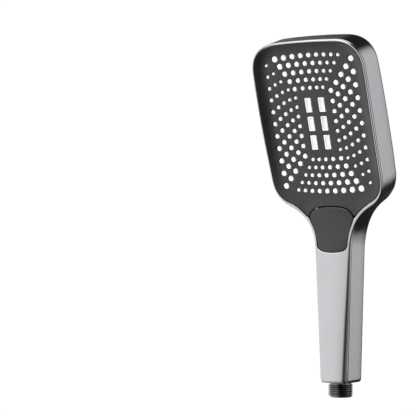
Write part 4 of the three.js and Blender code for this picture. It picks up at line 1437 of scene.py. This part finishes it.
# ------------------------------------------------------------------------------ inlet
@dataclass(frozen=True)
class Inlet:
    """Threaded nipple with its screen, clip and sealing rings; the flow limiter stays as built among the
    inner works.
    """

    crest: float = 10.4775
    root: float = 9.35
    pitch: float = 1.814
    length: float = 12.1
    neck: float = 8.7
    clip_z: float = 15.5
    clip_height: float = 1.3
    groove: float = 7.4
    spigot: float = 8.0
    ring_groove: float = 6.8
    upper_ring_z: float = 108.0
    ring_z: float = 23.0
    sides: int = 72

    def thread_radius(self, turn: np.ndarray, z: float) -> np.ndarray:
        """Returns the thread's radius round one ring.

        Args:
            turn: the angle of each point.
            z: the ring's height.
        """
        phase = (z / self.pitch - turn / (2 * math.pi)) % 1
        ridge = (0.5 - 0.5 * np.cos(2 * math.pi * phase)) ** 0.8
        fade = smoothstep(z, 0.5, 1.5) * (1 - smoothstep(z, self.length - 1.9, self.length - 1.1))
        return self.root + (self.crest - self.root) * ridge * fade

    def nipple(self) -> bpy.types.Object:
        """Builds the nipple with a true helical thread."""
        skin = Skin("hose_connector_visual", as_built)
        turn = np.arange(self.sides) * 2 * math.pi / self.sides
        wave = np.column_stack([np.cos(turn), np.sin(turn)])
        rings = []

        def ring(radius: np.ndarray | float, z: float) -> None:
            """Adds a ring of the given radius at a height."""
            rings.append(skin.ring(wave * np.broadcast_to(radius, self.sides)[:, None], z))

        for radius, z in ((7.8, 3.2), (7.8, 0.25), (8.0, 0.0), (8.9, 0.0), (9.15, 0.12)):
            ring(radius, z)
        steps = round((self.length - 0.6) / 0.13)
        for k in range(steps + 1):
            z = 0.35 + (self.length - 0.75) * k / steps
            ring(self.thread_radius(turn, z), z)
        low, high = self.clip_z - 0.15, self.clip_z + self.clip_height + 0.15
        tail = [(self.root, self.length - 0.3), (self.neck, self.length), (self.neck, low),
                (self.groove, low), (self.groove, high), (self.spigot, high), (self.spigot, self.ring_z),
                (self.ring_groove, self.ring_z), (self.ring_groove, self.ring_z + 2),
                (self.spigot, self.ring_z + 2),
                (self.spigot, 29), (self.spigot - 1, 30.2), (6, 30.2), (6, 3.2)]
        for radius, z in tail:
            ring(radius, z)
        skin.strip(*rings, rings[0])
        return skin.piece(crease=55)

    def screen(self) -> bpy.types.Object:
        """Builds the inlet screen: a rimmed disc with a honeycomb of holes."""
        skin = Skin("inlet_filter_visual", as_built)
        rim = circle((0, 0), 7.4, 64)
        hub = circle((0, 0), 6.5, 64)
        rings = [skin.ring(hub, 1.1), skin.ring(hub, 0.8), skin.ring(rim, 0.8), skin.ring(rim, 1.8)]
        skin.strip(*rings)
        fronts, backs = [rings[0]], [rings[3]]
        pitch = 1.75
        for row in range(-3, 4):
            for column in range(-4, 5):
                spot = ((column + 0.5 * (row % 2)) * pitch, row * pitch * 0.866)
                if math.hypot(*spot) > 5.6:
                    continue
                loop = circle(spot, 0.62, 12)
                pair = [skin.ring(loop, 1.1), skin.ring(loop, 1.8)]
                skin.strip(*pair)
                fronts.append(pair[0])
                backs.append(pair[1])
        skin.fill(fronts, 2.0, lambda rows: np.full(len(rows), 1.1))
        skin.fill(backs, 2.0, lambda rows: np.full(len(rows), 1.8))
        return skin.piece()

    def seal_ring(self, name: str, z: float) -> bpy.types.Object:
        """Builds one round sealing ring about the handle's axis."""
        turn = np.arange(16) * math.pi / 8
        profile = [(7.6 + 0.45 * math.cos(t), z + 0.45 * math.sin(t)) for t in turn]
        return turned(name, profile, 64).piece(crease=60)

    def clip(self) -> bpy.types.Object:
        """Builds the open ring that holds the nipple in the foot."""
        skin = Skin("retaining_clip_visual", as_built)
        arc = np.linspace(0.6, 2 * math.pi - 0.6, 64)
        outer = np.column_stack([np.cos(arc), np.sin(arc)])
        loop = np.vstack([outer * 10.4, outer[::-1] * 7.8])
        rings = [skin.ring(loop, self.clip_z), skin.ring(loop, self.clip_z + self.clip_height)]
        skin.strip(*rings)
        for ring, at in zip(rings, (self.clip_z, self.clip_z + self.clip_height)):
            skin.fill([ring], 3.0, lambda rows, at=at: np.full(len(rows), at))
        return skin.piece(bevel=0.2)

    def build(self, wardrobe: Wardrobe) -> None:
        """Makes and dresses the inlet's pieces."""
        wardrobe.dress(self.nipple(), Slot.CONNECTOR, Body.ROOT, "hose_connector")
        wardrobe.dress(self.screen(), Slot.INNER, Body.ROOT, "inlet_filter")
        wardrobe.dress(self.clip(), Slot.STEEL, Body.ROOT, "retaining_clip")
        for name, z in (("tube_oring_upper", self.upper_ring_z), ("tube_oring_lower", self.ring_z + 1)):
            wardrobe.dress(self.seal_ring(name + "_visual", z), Slot.SEAL, Body.ROOT, name)


# ------------------------------------------------------------------------------ inner works
@dataclass(frozen=True)
class InnerWorks:
    """The pieces inside the casing, which stay as they were built."""

    kept: tuple[tuple[Slot, tuple[str, ...]], ...] = (
        (Slot.INNER, ("flow_plate", "water_chamber", "riser_duct", "valve_body", "valve_cap", "inner_tube")),
        (Slot.BLACK, ("flow_restrictor", "selector_drum", "ratchet_wheel", "pawl_slide")),
        (Slot.SEAL, ("chamber_gasket", "drum_oring_1", "drum_oring_2")),
        (Slot.STEEL, ("detent_leaf", "valve_cap_screw_1", "valve_cap_screw_2")
         + tuple(f"chamber_screw_{number}" for number in range(1, 7))),
    )

    def build(self, wardrobe: Wardrobe) -> None:
        """Dresses each kept node."""
        for slot, names in self.kept:
            for name in names:
                wardrobe.dress_node(name, slot)


# ------------------------------------------------------------------------------ studio
@dataclass(frozen=True)
class Glow:
    """A soft patch of the studio's light tent."""

    azimuth: float
    elevation: float
    inner: float
    outer: float
    strength: float

    def axis(self) -> tuple[float, float, float]:
        """Returns the direction towards the patch; azimuth 0 is the spray side, and 90 is +X."""
        turn, rise = math.radians(self.azimuth), math.radians(self.elevation)
        return (math.sin(turn) * math.cos(rise), -math.cos(turn) * math.cos(rise), math.sin(rise))


@dataclass(frozen=True)
class Studio:
    """Camera, pale floor and a soft light tent."""

    azimuth: float = 31.2
    distance: float = 1.4367
    height: float = 0.1528
    swing: float = 4.572
    rise: float = 0.311
    lens: float = 148.54
    floor_z: float = -0.35
    floor_half: float = 1.7
    ambient: float = 0.03
    backdrop: float = 1.02
    glows: tuple[Glow, ...] = (
        Glow(-64, 4, 28, 88, 1.75),
        Glow(127, 11, 22, 42, 1.25),
        Glow(84, 0, 2, 52, 0.4),
        Glow(-172, 5, 6, 20, 1.0),
        Glow(-116, -18, 10, 30, 1.2),
        Glow(35, -8, 20, 62, 0.05),
        Glow(-25, 58, 16, 34, 5.0),
    )

    def camera(self) -> None:
        """Places the camera, level with the handle's middle."""
        turn = math.radians(self.azimuth)
        data = bpy.data.cameras.new("studio_camera")
        data.sensor_fit = "VERTICAL"
        data.sensor_height = 36
        data.lens = self.lens
        data.clip_end = 50
        camera = bpy.data.objects.new("studio_camera", data)
        camera.location = (self.distance * math.sin(turn), -self.distance * math.cos(turn), self.height)
        camera.rotation_euler = (math.radians(90 + self.rise), 0, math.radians(self.azimuth + self.swing))
        bpy.context.scene.collection.objects.link(camera)
        bpy.context.scene.camera = camera

    def floor(self) -> None:
        """Lays the pale paper floor, well below the hanging piece."""
        mesh = bpy.data.meshes.new("studio_floor")
        half = self.floor_half
        corners = [(x * half, y * half, self.floor_z) for x, y in ((-1, -1), (1, -1), (1, 1), (-1, 1))]
        mesh.from_pydata(corners, [], [(0, 1, 2, 3)])
        floor = bpy.data.objects.new("studio_floor", mesh)
        floor.data.materials.append(StudioPaper("pale_paper", (0.78, 0.78, 0.78)).material())
        bpy.context.scene.collection.objects.link(floor)
        floor.visible_glossy = False

    def tent(self) -> None:
        """Builds the light tent: soft patches on a dim sky, with plain white where the camera looks."""
        world = bpy.data.worlds.new("light_tent")
        world.use_nodes = True
        bpy.context.scene.world = world
        nodes, links = world.node_tree.nodes, world.node_tree.links
        nodes.clear()
        place = nodes.new("ShaderNodeTexCoord").outputs["Generated"]
        total = None
        for glow in self.glows:
            dot = nodes.new("ShaderNodeVectorMath")
            dot.operation = "DOT_PRODUCT"
            dot.inputs[1].default_value = glow.axis()
            links.new(place, dot.inputs[0])
            ramp = nodes.new("ShaderNodeMapRange")
            ramp.interpolation_type = "SMOOTHSTEP"
            ramp.inputs["From Min"].default_value = math.cos(math.radians(glow.outer))
            ramp.inputs["From Max"].default_value = math.cos(math.radians(glow.inner))
            ramp.inputs["To Max"].default_value = glow.strength
            links.new(dot.outputs["Value"], ramp.inputs["Value"])
            add = nodes.new("ShaderNodeMath")
            add.operation = "ADD"
            links.new(ramp.outputs["Result"], add.inputs[0])
            if total is None:
                add.inputs[1].default_value = self.ambient
            else:
                links.new(total, add.inputs[1])
            total = add.outputs["Value"]
        studio = nodes.new("ShaderNodeBackground")
        links.new(total, studio.inputs["Strength"])
        plain = nodes.new("ShaderNodeBackground")
        plain.inputs["Strength"].default_value = self.backdrop
        for shade in (studio, plain):
            shade.inputs["Color"].default_value = (1, 1, 1, 1)
        path = nodes.new("ShaderNodeLightPath")
        mix = nodes.new("ShaderNodeMixShader")
        links.new(path.outputs["Is Camera Ray"], mix.inputs["Fac"])
        links.new(studio.outputs["Background"], mix.inputs[1])
        links.new(plain.outputs["Background"], mix.inputs[2])
        output = nodes.new("ShaderNodeOutputWorld")
        links.new(mix.outputs["Shader"], output.inputs["Surface"])

    def build(self, wardrobe: Wardrobe) -> None:
        """Sets up the whole studio."""
        self.camera()
        self.floor()
        self.tent()
        bpy.context.scene.view_settings.view_transform = "Standard"


def main() -> None:
    """Builds the studio and every piece of the shower head."""
    logging.basicConfig(level=logging.INFO, format="%(name)s %(message)s")
    wardrobe = Wardrobe()
    Studio().build(wardrobe)
    for assembly in (Casing(), SprayFace(), ModeButton(), Inlet(), InnerWorks()):
        LOG.info("building %s", type(assembly).__name__)
        assembly.build(wardrobe)


if __name__ == "__main__":
    main()
